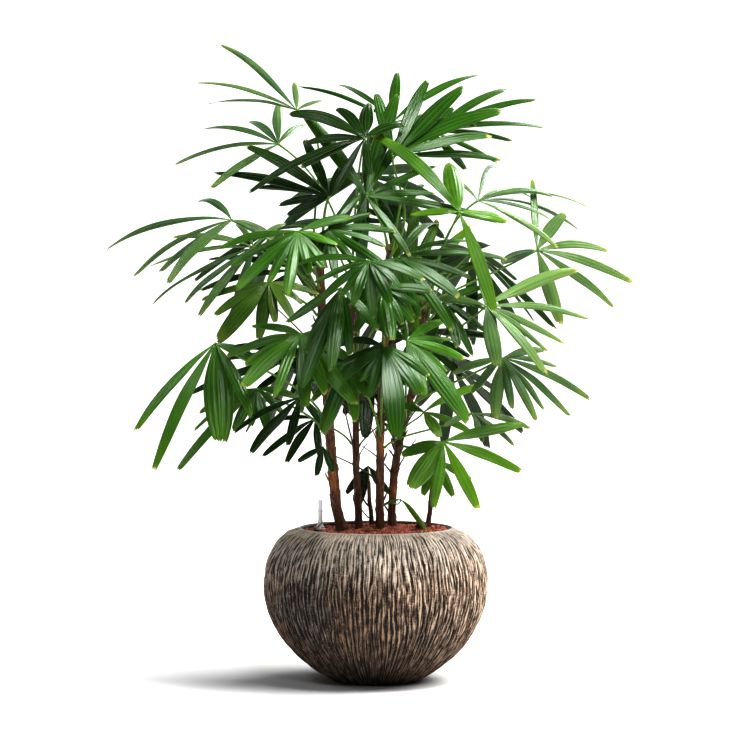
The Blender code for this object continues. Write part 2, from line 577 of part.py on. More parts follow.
def fan_mesh(name, shape, leaflets):
    """The frond's blade as one open surface: a web round the hub, and a strip for each leaflet."""
    face = shape.face
    zero = leaflets[0].direction
    zero = (zero - face * zero.dot(face)).normalized()
    beside = face.cross(zero)

    def turn_of(leaflet):
        return math.atan2(leaflet.direction.dot(beside), leaflet.direction.dot(zero)) % (2 * math.pi)

    ordered = sorted(leaflets, key=turn_of)
    turns = [turn_of(leaf) for leaf in ordered]
    following_turns = turns[1:] + turns[:1]
    gaps = [(b - a) % (2 * math.pi) or 2 * math.pi for a, b in zip(turns, following_turns)]
    widest = gaps.index(max(gaps))
    ordered = ordered[widest + 1 :] + ordered[: widest + 1]
    gaps = gaps[widest + 1 :] + gaps[: widest + 1]
    corners, faces, ring = [shape.hub.copy()], [], []
    lengths = [leaf.length for leaf in ordered]
    radius = min(HUB_SHARE * sum(lengths) / len(lengths), 0.2 * min(lengths))
    for index, leaf in enumerate(ordered):
        beside_it = (gaps[index - 1], gaps[index])
        sideways = leaf.face.cross(leaf.direction)
        pair = []
        for side, gap in zip((-1, 1), beside_it):
            angle = side * min(BASE_HALF_ANGLE, gap * RING_GAP_SHARE)
            aim = leaf.direction * math.cos(angle) + sideways * math.sin(angle)
            corners.append(shape.hub + aim * radius)
            pair.append(len(corners) - 1)
        ring += pair
        for step in CUT_STEPS[1:]:
            middle = leaf.curve[0][step]
            left, right, _ = leaf.edges(step)
            for edge, gap in ((right, beside_it[0]), (left, beside_it[1])):
                room = (middle - shape.hub).length * math.tan(min(gap * NECK_GAP_SHARE, 1.2))
                half = (edge - middle).length
                corners.append(middle + (edge - middle) * min(1, room / half))
            following = [len(corners) - 2, len(corners) - 1]
            faces.append((pair[0], following[0], following[1], pair[1]))
            pair = following
    faces += [(0, ring[i], ring[i + 1]) for i in range(len(ring) - 1)]
    if gaps[-1] < CLOSED_GAP:
        faces.append((0, ring[-1], ring[0]))
    mesh = bpy.data.meshes.new(name)
    mesh.from_pydata(corners, [], faces)
    return mesh


def grow_leaflets(shape, obstacles):
    """Leaflets in the order that they are listed. One that touches something is turned, lifted or
    shortened, and one that still touches is left out."""
    grown = []
    for spoke in shape.spokes:
        for way in WAYS:
            leaf = Leaflet(shape, spoke, way)
            near = any(leaf.direction.angle(other.direction) < LEAST_SPREAD for other in grown)
            if near:
                continue
            strip = leaf.probe()
            if any(strip.touches(o) for o in obstacles):
                continue
            outer = leaf.probe(CUT_STEPS[1] - 2)
            if any(outer.touches(other.probe(CUT_STEPS[1] - 2)) for other in grown):
                continue
            grown.append(leaf)
            break
    return grown


def join_frond(shape, leaflets, stalk, collection, finish):
    """The blade gets its thickness, and one union joins it to its stalk."""
    helpers = new_collection("join_" + shape.name)
    blade = mesh_object(shape.name, fan_mesh(shape.name, shape, leaflets), collection, finish)
    thick = blade.modifiers.new("thickness", "SOLIDIFY")
    thick.thickness = LEAFLET_THICKNESS
    thick.offset = 0
    applied(blade)
    collection.objects.unlink(blade)
    helpers.objects.link(blade)
    stalk.name = shape.name + "_frond"
    join = stalk.modifiers.new("join", "BOOLEAN")
    join.operation = "UNION"
    join.operand_type = "COLLECTION"
    join.collection = helpers
    join.solver = "MANIFOLD"
    applied(stalk)
    bpy.data.objects.remove(blade)
    bpy.data.collections.remove(helpers)
    return stalk


def main():
    for obj in list(bpy.data.objects):
        bpy.data.objects.remove(obj)
    plant = new_collection("lady_palm")
    shell = material("ridged_shell", (0.22, 0.17, 0.13), 0.7)
    dark = material("liner_plastic", (0.03, 0.035, 0.04), 0.5)
    clay = material("clay_granules", (0.36, 0.11, 0.07), 0.9)
    clear = material("gauge_plastic", (0.75, 0.78, 0.8), 0.2)
    bark = material("cane_fibre", (0.16, 0.07, 0.045), 0.9)
    green = material("leaf", (0.06, 0.2, 0.05), 0.4)

    planter(plant, shell)
    liner(plant, dark)
    granule_bed(plant, clay)
    gauge = water_gauge(plant, clear)
    canes = {shape.name: (shape, cane(shape, plant, bark)) for shape in CANES}
    bpy.context.view_layer.update()

    solids = {name: Probe(*shell_of(obj)) for name, (shape, obj) in canes.items()}
    graph = bpy.context.evaluated_depsgraph_get()
    fixed = list(solids.values())
    for part in (gauge, plant.objects["planter"]):
        mesh = part.evaluated_get(graph).to_mesh()
        corners = [part.matrix_world @ v.co for v in mesh.vertices]
        fixed.append(Probe(corners, [tuple(p.vertices) for p in mesh.polygons]))

    stalks, stalk_probes = {}, {}
    for shape in FRONDS:
        cane_shape, _ = canes[shape.cane]
        for drop, swing in STALK_WAYS:
            points, radii = stalk_curve(shape, cane_shape, solids[shape.cane], drop, swing)
            trial = tube(shape.name + "_stalk", points, radii, plant, 0, green)
            wide = tube("wide", points, [r + CLEARANCE for r in radii], plant, 0)
            test = Probe(*joined_shells(shell_of(wide), hub_guard(shape)))
            bpy.data.objects.remove(wide)
            others = [s for n, s in solids.items() if n != shape.cane] + fixed[len(solids):]
            own = Probe(*shell_of(trial)).touches(solids[shape.cane])
            if not own and not any(test.touches(o) for o in [*others, *stalk_probes.values()]):
                stalks[shape.name], stalk_probes[shape.name] = trial, test
                break
            bpy.data.objects.remove(trial)
        else:
            print("no free stalk for", shape.name)

    obstacles = list(fixed)
    for shape in FRONDS:
        if shape.name not in stalks:
            continue
        others = [p for n, p in stalk_probes.items() if n != shape.name]
        leaflets = grow_leaflets(shape, obstacles + others)
        print(shape.name, len(leaflets), "of", len(shape.spokes))
        obstacles += [leaf.probe(0) for leaf in leaflets]
        join_frond(shape, leaflets, stalks[shape.name], plant, green)


main()
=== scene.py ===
"""A potted lady palm, dressed over its frame: fans of pleated leaflets on thin stalks, fibrous
canes, a ridged globe planter with its liner, clay granules and water gauge, and a studio stage."""

import math

import bpy
import numpy as np
from bpy.props import FloatProperty, FloatVectorProperty, IntProperty, PointerProperty
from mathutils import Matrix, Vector


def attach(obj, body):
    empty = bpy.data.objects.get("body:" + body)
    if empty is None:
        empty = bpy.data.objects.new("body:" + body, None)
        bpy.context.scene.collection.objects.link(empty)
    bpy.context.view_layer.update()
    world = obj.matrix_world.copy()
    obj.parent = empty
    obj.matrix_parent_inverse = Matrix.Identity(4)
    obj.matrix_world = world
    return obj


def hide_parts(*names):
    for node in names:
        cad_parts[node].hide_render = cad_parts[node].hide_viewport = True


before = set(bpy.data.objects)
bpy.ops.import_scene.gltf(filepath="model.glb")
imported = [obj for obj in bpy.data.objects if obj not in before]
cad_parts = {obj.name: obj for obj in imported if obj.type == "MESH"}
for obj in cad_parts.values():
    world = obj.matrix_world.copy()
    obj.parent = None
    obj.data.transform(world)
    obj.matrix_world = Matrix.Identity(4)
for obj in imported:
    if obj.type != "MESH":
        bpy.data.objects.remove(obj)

bl_info = {
    "name": "Lady Palm",
    "version": (1, 0, 0),
    "blender": (4, 5, 0),
    "location": "3D Viewport > Sidebar > Lady Palm",
    "description": "Makes the leaves, canes, planter and stage of a potted lady palm",
    "category": "Add Mesh",
}

# A centimetre, the way up, and the height of the granule bed's top, in metres.
CM = 0.01
UP = np.array((0.0, 0.0, 1.0))
BED_TOP = 0.2660

# How the frame's leaflets bend, in the sizes that its solids were made with.
SEEN_FROM = np.array((-0.019, -5.0, 0.725))
FRAME_STEPS = 24
FRAME_THICKNESS = 0.0024
FRAME_TIP_SHARE = 0.52
CUPS = (0, 9, 18)
LEAN_PER_METRE = 32
LONGEST_LEAFLET = 0.30

# How leaflets and stalks give way to each other in the frame: a leaflet's turn and lift in degrees
# and its length and width as shares, and a stalk's drop in half centimetres and swing in metres.
WAYS = np.array([
    (turn, lift, length, width)
    for length, width in ((1.0, 1.0), (0.9, 0.85), (0.78, 0.7), (0.62, 0.6))
    for turn, lift in ((0, 0), (0, 8), (0, -8), (7, 4), (-7, 4), (0, 16), (0, -16), (12, -5), (-12, -5))
])
STALK_WAYS = [(drop, swing) for drop in range(0, 30, 3) for swing in (0, 0.03, -0.03, 0.06, -0.06)]

# Canes: centimetres along the middle line, the radius, and how much wider the foot is.
CANES = {
    "cane_left": ([(-5.8, -1, 26.6), (-6.6, -1, 29), (-7.4, -1, 35), (-8.1, -1, 43), (-8.9, -1, 55),
                   (-9.6, 0, 66), (-10, 0, 76)], 0.90, 1.6),
    "cane_slim": ([(-3.1, 5, 26.6), (-3.1, 5, 29), (-3.5, 5, 37), (-3.6, 5, 45), (-3.5, 5, 55),
                   (-4, 5, 65), (-4.2, 5, 75)], 0.60, 1.3),
    "cane_middle": ([(0.7, 1.5, 26.6), (0.7, 1.5, 29), (0.75, 1.5, 38), (0.9, 1.5, 48), (1.5, 2, 58),
                     (2, 2, 67), (2.4, 2, 77)], 0.70, 1.5),
    "cane_right": ([(2.9, 6, 26.6), (2.9, 6, 29), (3.2, 6, 35), (4.3, 6, 42), (6, 6, 49),
                    (7.6, 5, 57), (8.8, 5, 66)], 0.72, 1.4),
    "sucker_right": ([(9.2, 2, 26.6), (9.4, 2, 28), (9.9, 2, 33), (10.2, 2, 36)], 0.42, 1.5),
    "sucker_back": ([(-0.8, 8, 26.6), (-0.8, 8, 28), (-1.2, 8, 32), (-1.2, 8, 34.5)], 0.36, 1.4),
}

# A cane's radius at its tip as a share of the radius given above.
CANE_TIP_SHARE = 0.72

# Where a cane has lost its sheath: from and to which height, and towards which turn.
PEELED = {"cane_left": (0.338, 0.376, -1.9), "cane_middle": (0.395, 0.440, -1.2),
          "cane_right": (0.318, 0.342, -1.6)}

# The planter: its widest radius and the height of that, the radius of its foot, the semi-axis above
# the widest place, the exponents of its curve below and above it, where its lip starts and ends, its
# mouth's radius, its inner floor, the radius that turns are measured at, and its wall's grid.
WIDEST, WIDEST_AT, FOOT, HIGH_AXIS = 0.200, 0.165, 0.078, 0.136
LOW_POWER, HIGH_POWER = 1.8, 2.5
LIP_LOW, LIP_TOP, MOUTH, FLOOR_TOP = 0.2700, 0.2715, 0.1335, 0.0303
RIDGED_RADIUS = 0.19
WALL_ROWS, WALL_COLUMNS = 84, 880

# What lies in the planter: the turn and the share between two granules of a sunflower spiral, and
# the gauge's place.
GOLDEN_TURN, GOLDEN_SHARE = 2.399963, 0.6180339887
GAUGE_AT = (-0.0985, -0.018)

# Leaflets: how near a solid's corners a found one's tip lies, which gaps in a full fan get one more,
# in degrees, its length and width as shares of its neighbours', and the fine veins in each fold.
FOUND_WITHIN = 0.0012
FILLED_GAP = (36, 120)
FILLER_SHARES = {"length": 0.80, "width": 0.78}
VEINS = 9

# The stage: half the floor's width, and the degrees that the sun fills in the sky.
FLOOR_HALF = 14.0
SUN_SPREAD = 58


def frond(name, kind, cane, hub, tilt, tips, width=2.0, droop=0.5, stalk=0.22, climb=0.6):
    """A frond of the front: its hub, and where its leaflets' tips look to be, in centimetres."""
    return {"name": name, "kind": kind, "cane": cane, "hub": hub, "tilt": tilt, "tips": tips,
            "width": width, "droop": droop, "stalk": stalk * CM, "climb": climb}


def back_frond(name, kind, cane, turn, out, up, tilt=38, count=9, length=22, width=2.6, droop=0.6):
    """A frond of the back: out from the axis at this turn, its leaflets spread in a circle."""
    return {"name": name, "kind": kind, "cane": cane, "turn": turn, "out": out, "up": up, "tilt": tilt,
            "count": count, "length": length, "width": width, "droop": droop, "stalk": 0.0022, "climb": 0.6}


# A frond's kind picks its leaf colour. Most kinds are lit and shaded copies of one green: the sunlit kind is
# painted sunlight on the right, deep and dark are painted shade in the middle and inside, and pale is painted
# sheen on fans at the edges.
FRONDS = [
    frond("top_left", "pale", "cane_left", (-14, 2, 101), 42,
          [(-28, 113, 2.4), (-34.3, 107.8), (-34, 105), (-14.5, 106), (-9, 104), (-4.5, 98, 2.4)],
          droop=0.35),
    frond("top_left_fan", "pale", "cane_slim", (-17.3, 12, 95), 46,
          [(-17.5, 102.3, 2.3), (-30.6, 97.6), (-35.6, 91.3), (-29.2, 87.3, 2.4), (-22.5, 99),
           (-12.5, 98.5)]),
    frond("upper_left", "dark", "cane_left", (-8.3, -5, 85.7), 52,
          [(-23, 94.7, 2.4), (-30.3, 92.8), (-15.8, 82.6, 2.4), (-5.2, 92.2), (-0.2, 89.8),
           (-21, 87.5, 1.5), (-12.5, 93.5)], droop=0.35, stalk=0.3),
    frond("crest_left", "dark", "cane_slim", (-2, -9, 96), 50,
          [(-15.5, 100.2, 2.4), (-22.7, 86.7), (-13.5, 91), (-1.3, 102.3, 2.6), (5, 98.5), (-1, 89.5, 1.6)],
          droop=0.6),
    frond("crest_middle", "deep", "cane_middle", (-1.7, -8, 85.8), 60,
          [(-12.5, 98.5, 2.6), (3.3, 104, 3), (9.2, 102.5), (22.8, 81.2), (10.5, 86.3, 1.6),
           (-6, 99, 2.4), (-4, 76.5)], droop=0.3),
    frond("crest_right", "deep", "cane_middle", (3, -4, 93), 58,
          [(9.3, 106.3, 2.4), (15.7, 105.3, 3), (23, 101.6, 2.8), (20.5, 96.4), (22.3, 92.1, 1.4),
           (0, 104, 2.4)], droop=0.3),
    frond("crest_back", "deep", "cane_middle", (10, 15, 97), 48,
          [(28.3, 102.9), (29.7, 98), (24.2, 95.8), (13.7, 101.5), (23.3, 104.8), (16, 90.5)], 1.7, 0.4),
    frond("crest_far", "deep", "cane_slim", (3, 8, 99), 46,
          [(3.7, 107.7, 2.6), (-13.8, 105.2, 1.5), (-7.5, 106.4, 1.5), (12.5, 94.5),
           (19.2, 108.3, 2.3)], 2, 0.4),
    frond("right_bright", "fresh", "cane_right", (14.7, -16, 83), 52,
          [(2.2, 96.7, 2.5), (13, 91.8, 3.6), (21.2, 65.2, 2.4), (23.4, 81.4, 2.2), (6, 82.5)]),
    frond("right_arching", "pale", "cane_right", (18, 2, 85), 40,
          [(31.2, 86), (39, 84.2), (35.8, 80.2), (32.3, 76.6), (21.5, 91), (10, 90)], 1.5, 0.65),
    frond("far_right", "pale", "cane_middle", (28.5, 4, 76.3), 62,
          [(27.5, 89, 1.4), (33.7, 82.8, 2.4), (41.2, 76.2), (45.6, 70.6), (42.2, 66),
           (32.8, 63, 2.7), (22, 74)], 1.8, 0.45),
    frond("mid_right", "pale", "cane_right", (19.5, -12, 66.4), 50,
          [(36, 72.8, 2.5), (38, 64, 1.7), (33.5, 59.8), (30.5, 54.2), (21.5, 55.5, 2.8),
           (9.8, 67.8)], 1.8, 0.45),
    frond("low_right", "pale", "cane_middle", (22.5, -4, 57.2), 52,
          [(30, 58.5), (38, 49.9), (34.4, 46.8), (28.4, 46), (21, 46.4, 2.4), (13.5, 54.5)], 1.6),
    frond("small_right", "pale", "cane_middle", (17.2, -8, 47.4), 44,
          [(27.5, 44.6), (24.6, 41.6), (19, 42.2), (12, 45)], 1.3, 0.6, stalk=0.18, climb=0.35),
    frond("bottom_right", "fresh", "cane_right", (12, -13, 42.3), 56,
          [(26.5, 45.5, 2.3), (25.8, 37), (18.2, 30.2, 2.2), (10.4, 30.5), (6, 34, 3.6),
           (4.5, 40, 2.4)], 2, 0.3, climb=0.1),
    frond("sucker_leaf", "fresh", "sucker_right", (11, -3, 38.6), 52,
          [(13.8, 32.6), (8.2, 32.8), (17, 35.6)], 1.8, 0.5, stalk=0.18),
    frond("inner_right", "fresh", "cane_right", (8.5, -3, 47.6), 46,
          [(11.3, 42.6, 2.2), (19.4, 52.6), (17, 44), (4.2, 49)], 1.7, 0.4, stalk=0.18, climb=0.4),
    frond("front_right", "rich", "cane_right", (5.5, -19, 60.2), 56,
          [(16.5, 45.8, 3.2), (15.8, 57), (12.5, 64), (8.5, 49.5, 2.6), (-2, 64), (12, 50.5)], 2, 0.4),
    frond("front_middle", "deep", "cane_middle", (1.5, -24, 59.2), 46,
          [(3.9, 42.7, 3.8), (-5.8, 53.4, 2.4), (-7.5, 59), (9.5, 54), (-1.2, 50)], 2, 0.7),
    frond("front_left", "rich", "cane_left", (-13.3, -18, 61.4), 50,
          [(-23.7, 52, 3), (-26.5, 57.5, 2), (-3.6, 48.8, 3.2), (-12.4, 48.5, 2.6),
           (-22, 63), (-4, 60), (-18, 49)]),
    frond("front_low", "rich", "cane_middle", (-5, -18, 56.8), 52,
          [(-10, 45, 2.9), (-14, 52, 2.2), (-3.5, 46, 2.2), (0.5, 52), (-14, 57.5)], 2, 0.4),
    frond("big_left", "rich", "cane_left", (-28.5, -12, 59.8), 50,
          [(-42.8, 44.2, 1.8), (-39.6, 37.2, 2.6), (-27.5, 42.2, 5.2), (-22, 46.5), (-20.5, 56)], 2, 0.6),
    frond("low_left", "rich", "cane_left", (-21.2, 0, 51.8), 46,
          [(-35.2, 37.2), (-25.4, 44.2, 2.3), (-31.5, 47.5), (-13.5, 50), (-19, 43.5)], 1.9),
    frond("lower_left", "dark", "cane_left", (-13.5, -8, 50.2), 44,
          [(-25.2, 44), (-22.4, 40.2, 1.9), (-15.5, 41.5), (-8.5, 44.5)], 1.6),
    frond("bottom_left", "dark", "cane_slim", (-10.8, 6, 46.4), 44,
          [(-20.2, 39.6), (-16, 38.6, 1.6), (-19.8, 45.6), (-10, 39.5)], 1.4, stalk=0.18),
    frond("dark_left", "dark", "cane_slim", (-12, 9, 57.4), 42,
          [(-33, 50.8), (-25.8, 59), (-21.5, 51, 2.2), (-28.8, 55), (-10.5, 50), (-17, 63)], 1.8, 0.4),
    frond("outer_left", "pale", "cane_left", (-25.5, -3, 81.6), 42,
          [(-31.5, 85), (-49, 76.4), (-43, 71.6), (-37, 70.4, 3.2), (-18, 78, 2.4)], 1.8, 0.75),
    frond("mid_left", "pale", "cane_left", (-21.6, 3, 76.8), 42,
          [(-36, 78.6), (-40.2, 73.4), (-39.6, 66.8), (-31.5, 64.6, 2.2), (-16, 81), (-25, 68)], 1.7, 0.5),
    frond("left_front", "rich", "cane_left", (-13.8, -16, 79.6), 46,
          [(-25, 69.4, 2.6), (-8.9, 73, 2.8), (-28, 76.5), (-16, 68, 2.2), (-4.5, 80)], 2, 0.45),
    frond("left_back", "dark", "cane_left", (-14, 10, 72.8), 40,
          [(-29.6, 74.8), (-31.4, 69), (-25.6, 64.6, 2.2), (-9, 79), (-20, 79), (-21, 66)], 1.8, 0.45),
    frond("olive_left", "olive", "cane_left", (-19, -3, 70.6), 48,
          [(-28.2, 60, 3.4), (-31, 67.4), (-21, 60.5, 2.6), (-14.5, 64), (-10, 68.5)], 1.8, 0.35),
    frond("middle_arch", "deep", "cane_slim", (-8.6, -15, 80), 46,
          [(2.5, 73, 2.1), (3.6, 79.6), (-14.5, 73.8, 2), (-2.5, 85), (-7, 70.5)], 1.7, 0.4),
    frond("middle_hanging", "deep", "cane_slim", (-1.2, -26, 74.4), 44,
          [(-4.1, 66.5), (2.6, 66.8, 2.2), (-14, 71.8), (8.5, 71), (-10, 67.5), (-0.5, 64.5)], 1.9, 0.6),
    frond("middle_right", "deep", "cane_middle", (4, -13, 75), 46,
          [(14.8, 68, 2.5), (13.6, 61.8), (4.4, 62, 2.3), (23.2, 74.8, 1.8), (-4, 70.5), (11, 81)], 2),
    frond("inner_hanging", "deep", "cane_slim", (-6.2, -21, 69.6), 46,
          [(-8, 54.8, 2.6), (-13, 51.8, 2.4), (-4.4, 57.6), (-16, 63.5), (0.5, 62), (-12.5, 58)], 1.9),
    frond("inner_drop", "deep", "cane_middle", (1.2, -19, 69.8), 52,
          [(2.7, 59.4, 3), (-3.8, 61.5), (6.6, 63.4), (10, 69), (-6, 67)], 1.9, 0.35),
    frond("upright", "fresh", "cane_right", (5.4, 11, 68.8), 66,
          [(7, 84.4, 2.4), (11, 81.7, 2.2), (17, 80.7), (19, 75.2), (7.6, 60, 2.4), (2, 82)], 2, 0.15),
    frond("inner_dark", "dark", "cane_right", (7.4, 12, 61.8), 46,
          [(20.5, 69), (21, 61), (15.5, 53.8, 2.4), (-2, 67), (4, 52, 2.4), (10.5, 51)], 2, 0.35),
    frond("right_hanging", "deep", "cane_right", (12, -5, 67.2), 44,
          [(14.5, 59, 2.1), (18.8, 61), (9, 58.5), (20, 70), (17, 57.5)], 1.7, 0.4),
    frond("small_back", "deep", "cane_middle", (3.5, 20, 81), 46,
          [(2.5, 90, 2), (8.5, 88), (13, 83.5), (-4, 88.5), (-7.5, 81.5)], 1.7, 0.35),
    frond("hanging_dark", "dark", "cane_slim", (-1.5, 10, 55.4), 42,
          [(-1.8, 42.8, 2.8), (5.8, 46.5, 2.4), (-8.5, 48.5), (6, 58), (2, 46)], 2),
    frond("cane_leaf", "dark", "cane_left", (-9.4, -9, 41.4), 44,
          [(-13.9, 38.8), (-10.6, 36.2), (-7.4, 37)], 1.3, 0.4, stalk=0.16, climb=0.3),
    frond("back_shoot", "dark", "sucker_back", (-1.4, 13, 38), 40,
          [(-1.6, 30.4, 2), (-5.5, 33.5), (2.5, 33)], 1.6, 0.4, stalk=0.16),
    frond("rim_leaf", "olive", "cane_right", (4.4, -5, 32), 30,
          [(8.8, 25.8, 1.2), (1, 31)], 1.1, 0.9, stalk=0.14, climb=0.05),
    back_frond("back_high", "pale", "cane_middle", 95, 20, 90),
    back_frond("back_right", "deep", "cane_right", 40, 23, 76),
    back_frond("back_left", "deep", "cane_left", 140, 24, 80),
    back_frond("back_middle", "dark", "cane_slim", 85, 26, 67),
    back_frond("back_low_right", "dark", "cane_right", 50, 22, 55, length=19),
    back_frond("back_low_left", "dark", "cane_slim", 130, 21, 58, length=19),
]

# Full fans: more leaflets grow in their gaps.
FULLER = {"upper_left", "crest_left", "crest_middle", "crest_right", "crest_far", "crest_back", "front_right",
          "front_middle", "front_left", "front_low", "dark_left", "outer_left", "mid_left", "left_front",
          "left_back", "olive_left", "middle_arch", "middle_hanging", "middle_right", "inner_hanging",
          "inner_drop", "upright", "inner_dark", "right_hanging", "small_back", "hanging_dark", "low_left",
          "mid_right", "low_right", "right_arching", "back_high", "back_right", "back_left", "back_middle"}
# Fans seen edge-on: the width of their leaflets as a share of their solids' width.
SLENDER = {"top_left": 0.62, "top_left_fan": 0.80, "outer_left": 0.85, "mid_left": 0.88, "crest_far": 0.8,
           "right_arching": 0.85}


class PlanterSizes(bpy.types.PropertyGroup):
    """The planter's ridges and colours."""

    ridges: IntProperty(name="Ridges", description="Ridges round the planter", default=148, min=20)
    relief: FloatProperty(name="Relief", description="Depth of the grooves", default=0.0034, unit="LENGTH")
    groove: FloatVectorProperty(name="Groove", description="Colour down in the grooves", subtype="COLOR",
                                default=(0.013, 0.0085, 0.006))
    flank: FloatVectorProperty(name="Flank", description="Colour of the ridges' sides", subtype="COLOR",
                               default=(0.150, 0.088, 0.054))
    crest: FloatVectorProperty(name="Crest", description="Colour along the ridges' tops", subtype="COLOR",
                               default=(0.47, 0.36, 0.265))
    # The charcoal colour is also laid where the planter's left lies away from the light, as painted shade.
    char: FloatVectorProperty(name="Charcoal", description="Colour of the charred patches", subtype="COLOR",
                              default=(0.050, 0.043, 0.038))
    # The rim's colour is partly painted highlight.
    rim: FloatVectorProperty(name="Rim", description="Colour of the smooth rim", subtype="COLOR",
                             default=(0.80, 0.72, 0.66))


class FillSizes(bpy.types.PropertyGroup):
    """What the planter holds: liner, granules and water gauge."""

    pebbles: IntProperty(name="Pebbles", description="Clay granules that show", default=2350, min=100)
    pebble: FloatProperty(name="Granule size", description="Radius of a common granule", default=0.0034,
                          unit="LENGTH")
    clay: FloatVectorProperty(name="Clay", description="Colour of the granules", subtype="COLOR",
                              default=(0.50, 0.170, 0.110))
    liner: FloatVectorProperty(name="Liner", description="Colour of the inner pot", subtype="COLOR",
                               default=(0.030, 0.036, 0.043))
    gauge: FloatVectorProperty(name="Gauge", description="Colour of the gauge's tube", subtype="COLOR",
                               default=(0.80, 0.83, 0.84))


class CaneSizes(bpy.types.PropertyGroup):
    """The canes' sheaths and fibres."""

    sheath: FloatProperty(name="Sheath spacing", description="Height between two leaf scars", default=0.031,
                          unit="LENGTH")
    fibres: IntProperty(name="Fibres", description="Loose fibres on each metre of cane", default=560, min=10)
    fibre: FloatProperty(name="Fibre", description="Radius of a loose fibre", default=0.00034, unit="LENGTH")
    bark: FloatVectorProperty(name="Bark", description="Colour of the fibrous sheaths", subtype="COLOR",
                              default=(0.185, 0.088, 0.050))
    pale: FloatVectorProperty(name="Worn fibre", description="Colour of fibres in the light", subtype="COLOR",
                              default=(0.46, 0.27, 0.17))
    peeled: FloatVectorProperty(name="Peeled", description="Colour where a sheath has come off",
                                subtype="COLOR", default=(0.50, 0.19, 0.06))


class LeafSizes(bpy.types.PropertyGroup):
    """The leaflets' folds, thickness and colours."""

    thickness: FloatProperty(name="Thickness", description="Thickness of a leaflet", default=0.0007,
                             unit="LENGTH")
    fold: FloatProperty(name="Fold", description="Depth of a fold as a share of its width", default=0.075)
    tooth: FloatProperty(name="Teeth", description="Length of the teeth as a share of the leaflet",
                         default=0.045)
    # The sunlit kind is a lit copy of the leaf green: painted sunlight on the fans to the right, towards the
    # sun.
    fresh: FloatVectorProperty(name="Sunlit green", description="Colour of the sunlit leaflets", subtype="COLOR",
                               default=(0.058, 0.148, 0.014))
    rich: FloatVectorProperty(name="Rich", description="Colour of most outer leaflets", subtype="COLOR",
                              default=(0.038, 0.118, 0.012))
    # The deep kind is a darker copy of the leaf green for the middle and back of the crown: painted shade.
    deep: FloatVectorProperty(name="Deep", description="Colour of the middle leaflets", subtype="COLOR",
                              default=(0.015, 0.060, 0.0045))
    dark: FloatVectorProperty(name="Dark", description="Colour of the shaded leaflets", subtype="COLOR",
                              default=(0.0065, 0.028, 0.0025))
    # The pale kind is a lighter, bluer copy of the leaf green for fans at the crown's edges: painted sheen of
    # the white surroundings, and painted light.
    pale: FloatVectorProperty(name="Pale", description="Colour of the far leaflets", subtype="COLOR",
                              default=(0.076, 0.145, 0.062))
    olive: FloatVectorProperty(name="Olive", description="Colour of the oldest leaflets", subtype="COLOR",
                               default=(0.058, 0.118, 0.014))
    rib: FloatVectorProperty(name="Rib", description="Colour of the ribs", subtype="COLOR",
                             default=(0.16, 0.33, 0.05))
    tip: FloatVectorProperty(name="Tip", description="Colour of the dry tips", subtype="COLOR",
                             default=(0.42, 0.41, 0.11))
    stalk: FloatVectorProperty(name="Stalk", description="Colour of the stalks", subtype="COLOR",
                               default=(0.095, 0.215, 0.018))
    old: FloatVectorProperty(name="Old stalk", description="Colour of the stalks whose fans have dropped",
                             subtype="COLOR", default=(0.055, 0.034, 0.020))
    old_stalks: IntProperty(name="Old stalks", description="How many bare stalks are left", default=42, min=1)


class StageSizes(bpy.types.PropertyGroup):
    """The floor, the lamps and the camera."""

    floor: FloatVectorProperty(name="Floor", description="Colour of the floor", subtype="COLOR",
                               default=(0.70, 0.70, 0.705))
    key: FloatProperty(name="Sun", description="Strength of the soft sun on the right", default=5.4)
    fill: FloatProperty(name="Square lamps", description="Power of the square lamps", default=45,
                        unit="POWER")
    sky: FloatProperty(name="Surroundings", description="Strength of the white surroundings", default=1.06)
    shade: FloatProperty(name="Dim side", description="Strength of what lies behind the camera and overhead",
                         default=0.07)
    lens: FloatProperty(name="Lens", description="Focal length", default=139.0, unit="CAMERA")


class LadyPalm(bpy.types.PropertyGroup):
    """All sizes and colours of the palm."""

    planter: PointerProperty(type=PlanterSizes)
    fill: PointerProperty(type=FillSizes)
    canes: PointerProperty(type=CaneSizes)
    leaves: PointerProperty(type=LeafSizes)
    stage: PointerProperty(type=StageSizes)


# Shapes: grids of points, and the faces between them.


def made_long(vectors):
    """Each vector divided by its own length."""
    return vectors / np.maximum(np.linalg.norm(vectors, axis=-1, keepdims=True), 1e-12)


def turned_about(vectors, axes, angles):
    """Vectors turned about their axes: v cos a + (k x v) sin a + k (k . v)(1 - cos a)."""
    c, s = np.cos(angles)[..., None], np.sin(angles)[..., None]
    along = (vectors * axes).sum(-1, keepdims=True)
    return vectors * c + np.cross(axes, vectors) * s + axes * along * (1 - c)


def smooth_step(low, high, values):
    """0 under low, 1 over high, and t * t * (3 - 2 t) between them."""
    t = np.clip((values - low) / (high - low), 0, 1)
    return t * t * (3 - 2 * t)


def ripple(x, y, seed, scale, count=14):
    """A smooth random field of about -1 to 1: the mean of sines in random directions of x and y."""
    rng = np.random.default_rng(seed)
    angles = rng.uniform(0, 2 * np.pi, count)
    speeds = rng.uniform(0.5, 1.6, count) * 2 * np.pi / scale
    shifts = rng.uniform(0, 2 * np.pi, count)
    total = np.zeros(np.broadcast(x, y).shape)
    for angle, speed, shift in zip(angles, speeds, shifts):
        total += np.sin((x * np.cos(angle) + y * np.sin(angle)) * speed + shift)
    return total / math.sqrt(count / 2)


def level_at(turns):
    """Level directions at these turns: (cos a, sin a, 0)."""
    return np.stack([np.cos(turns), np.sin(turns), np.zeros_like(turns)], axis=-1)


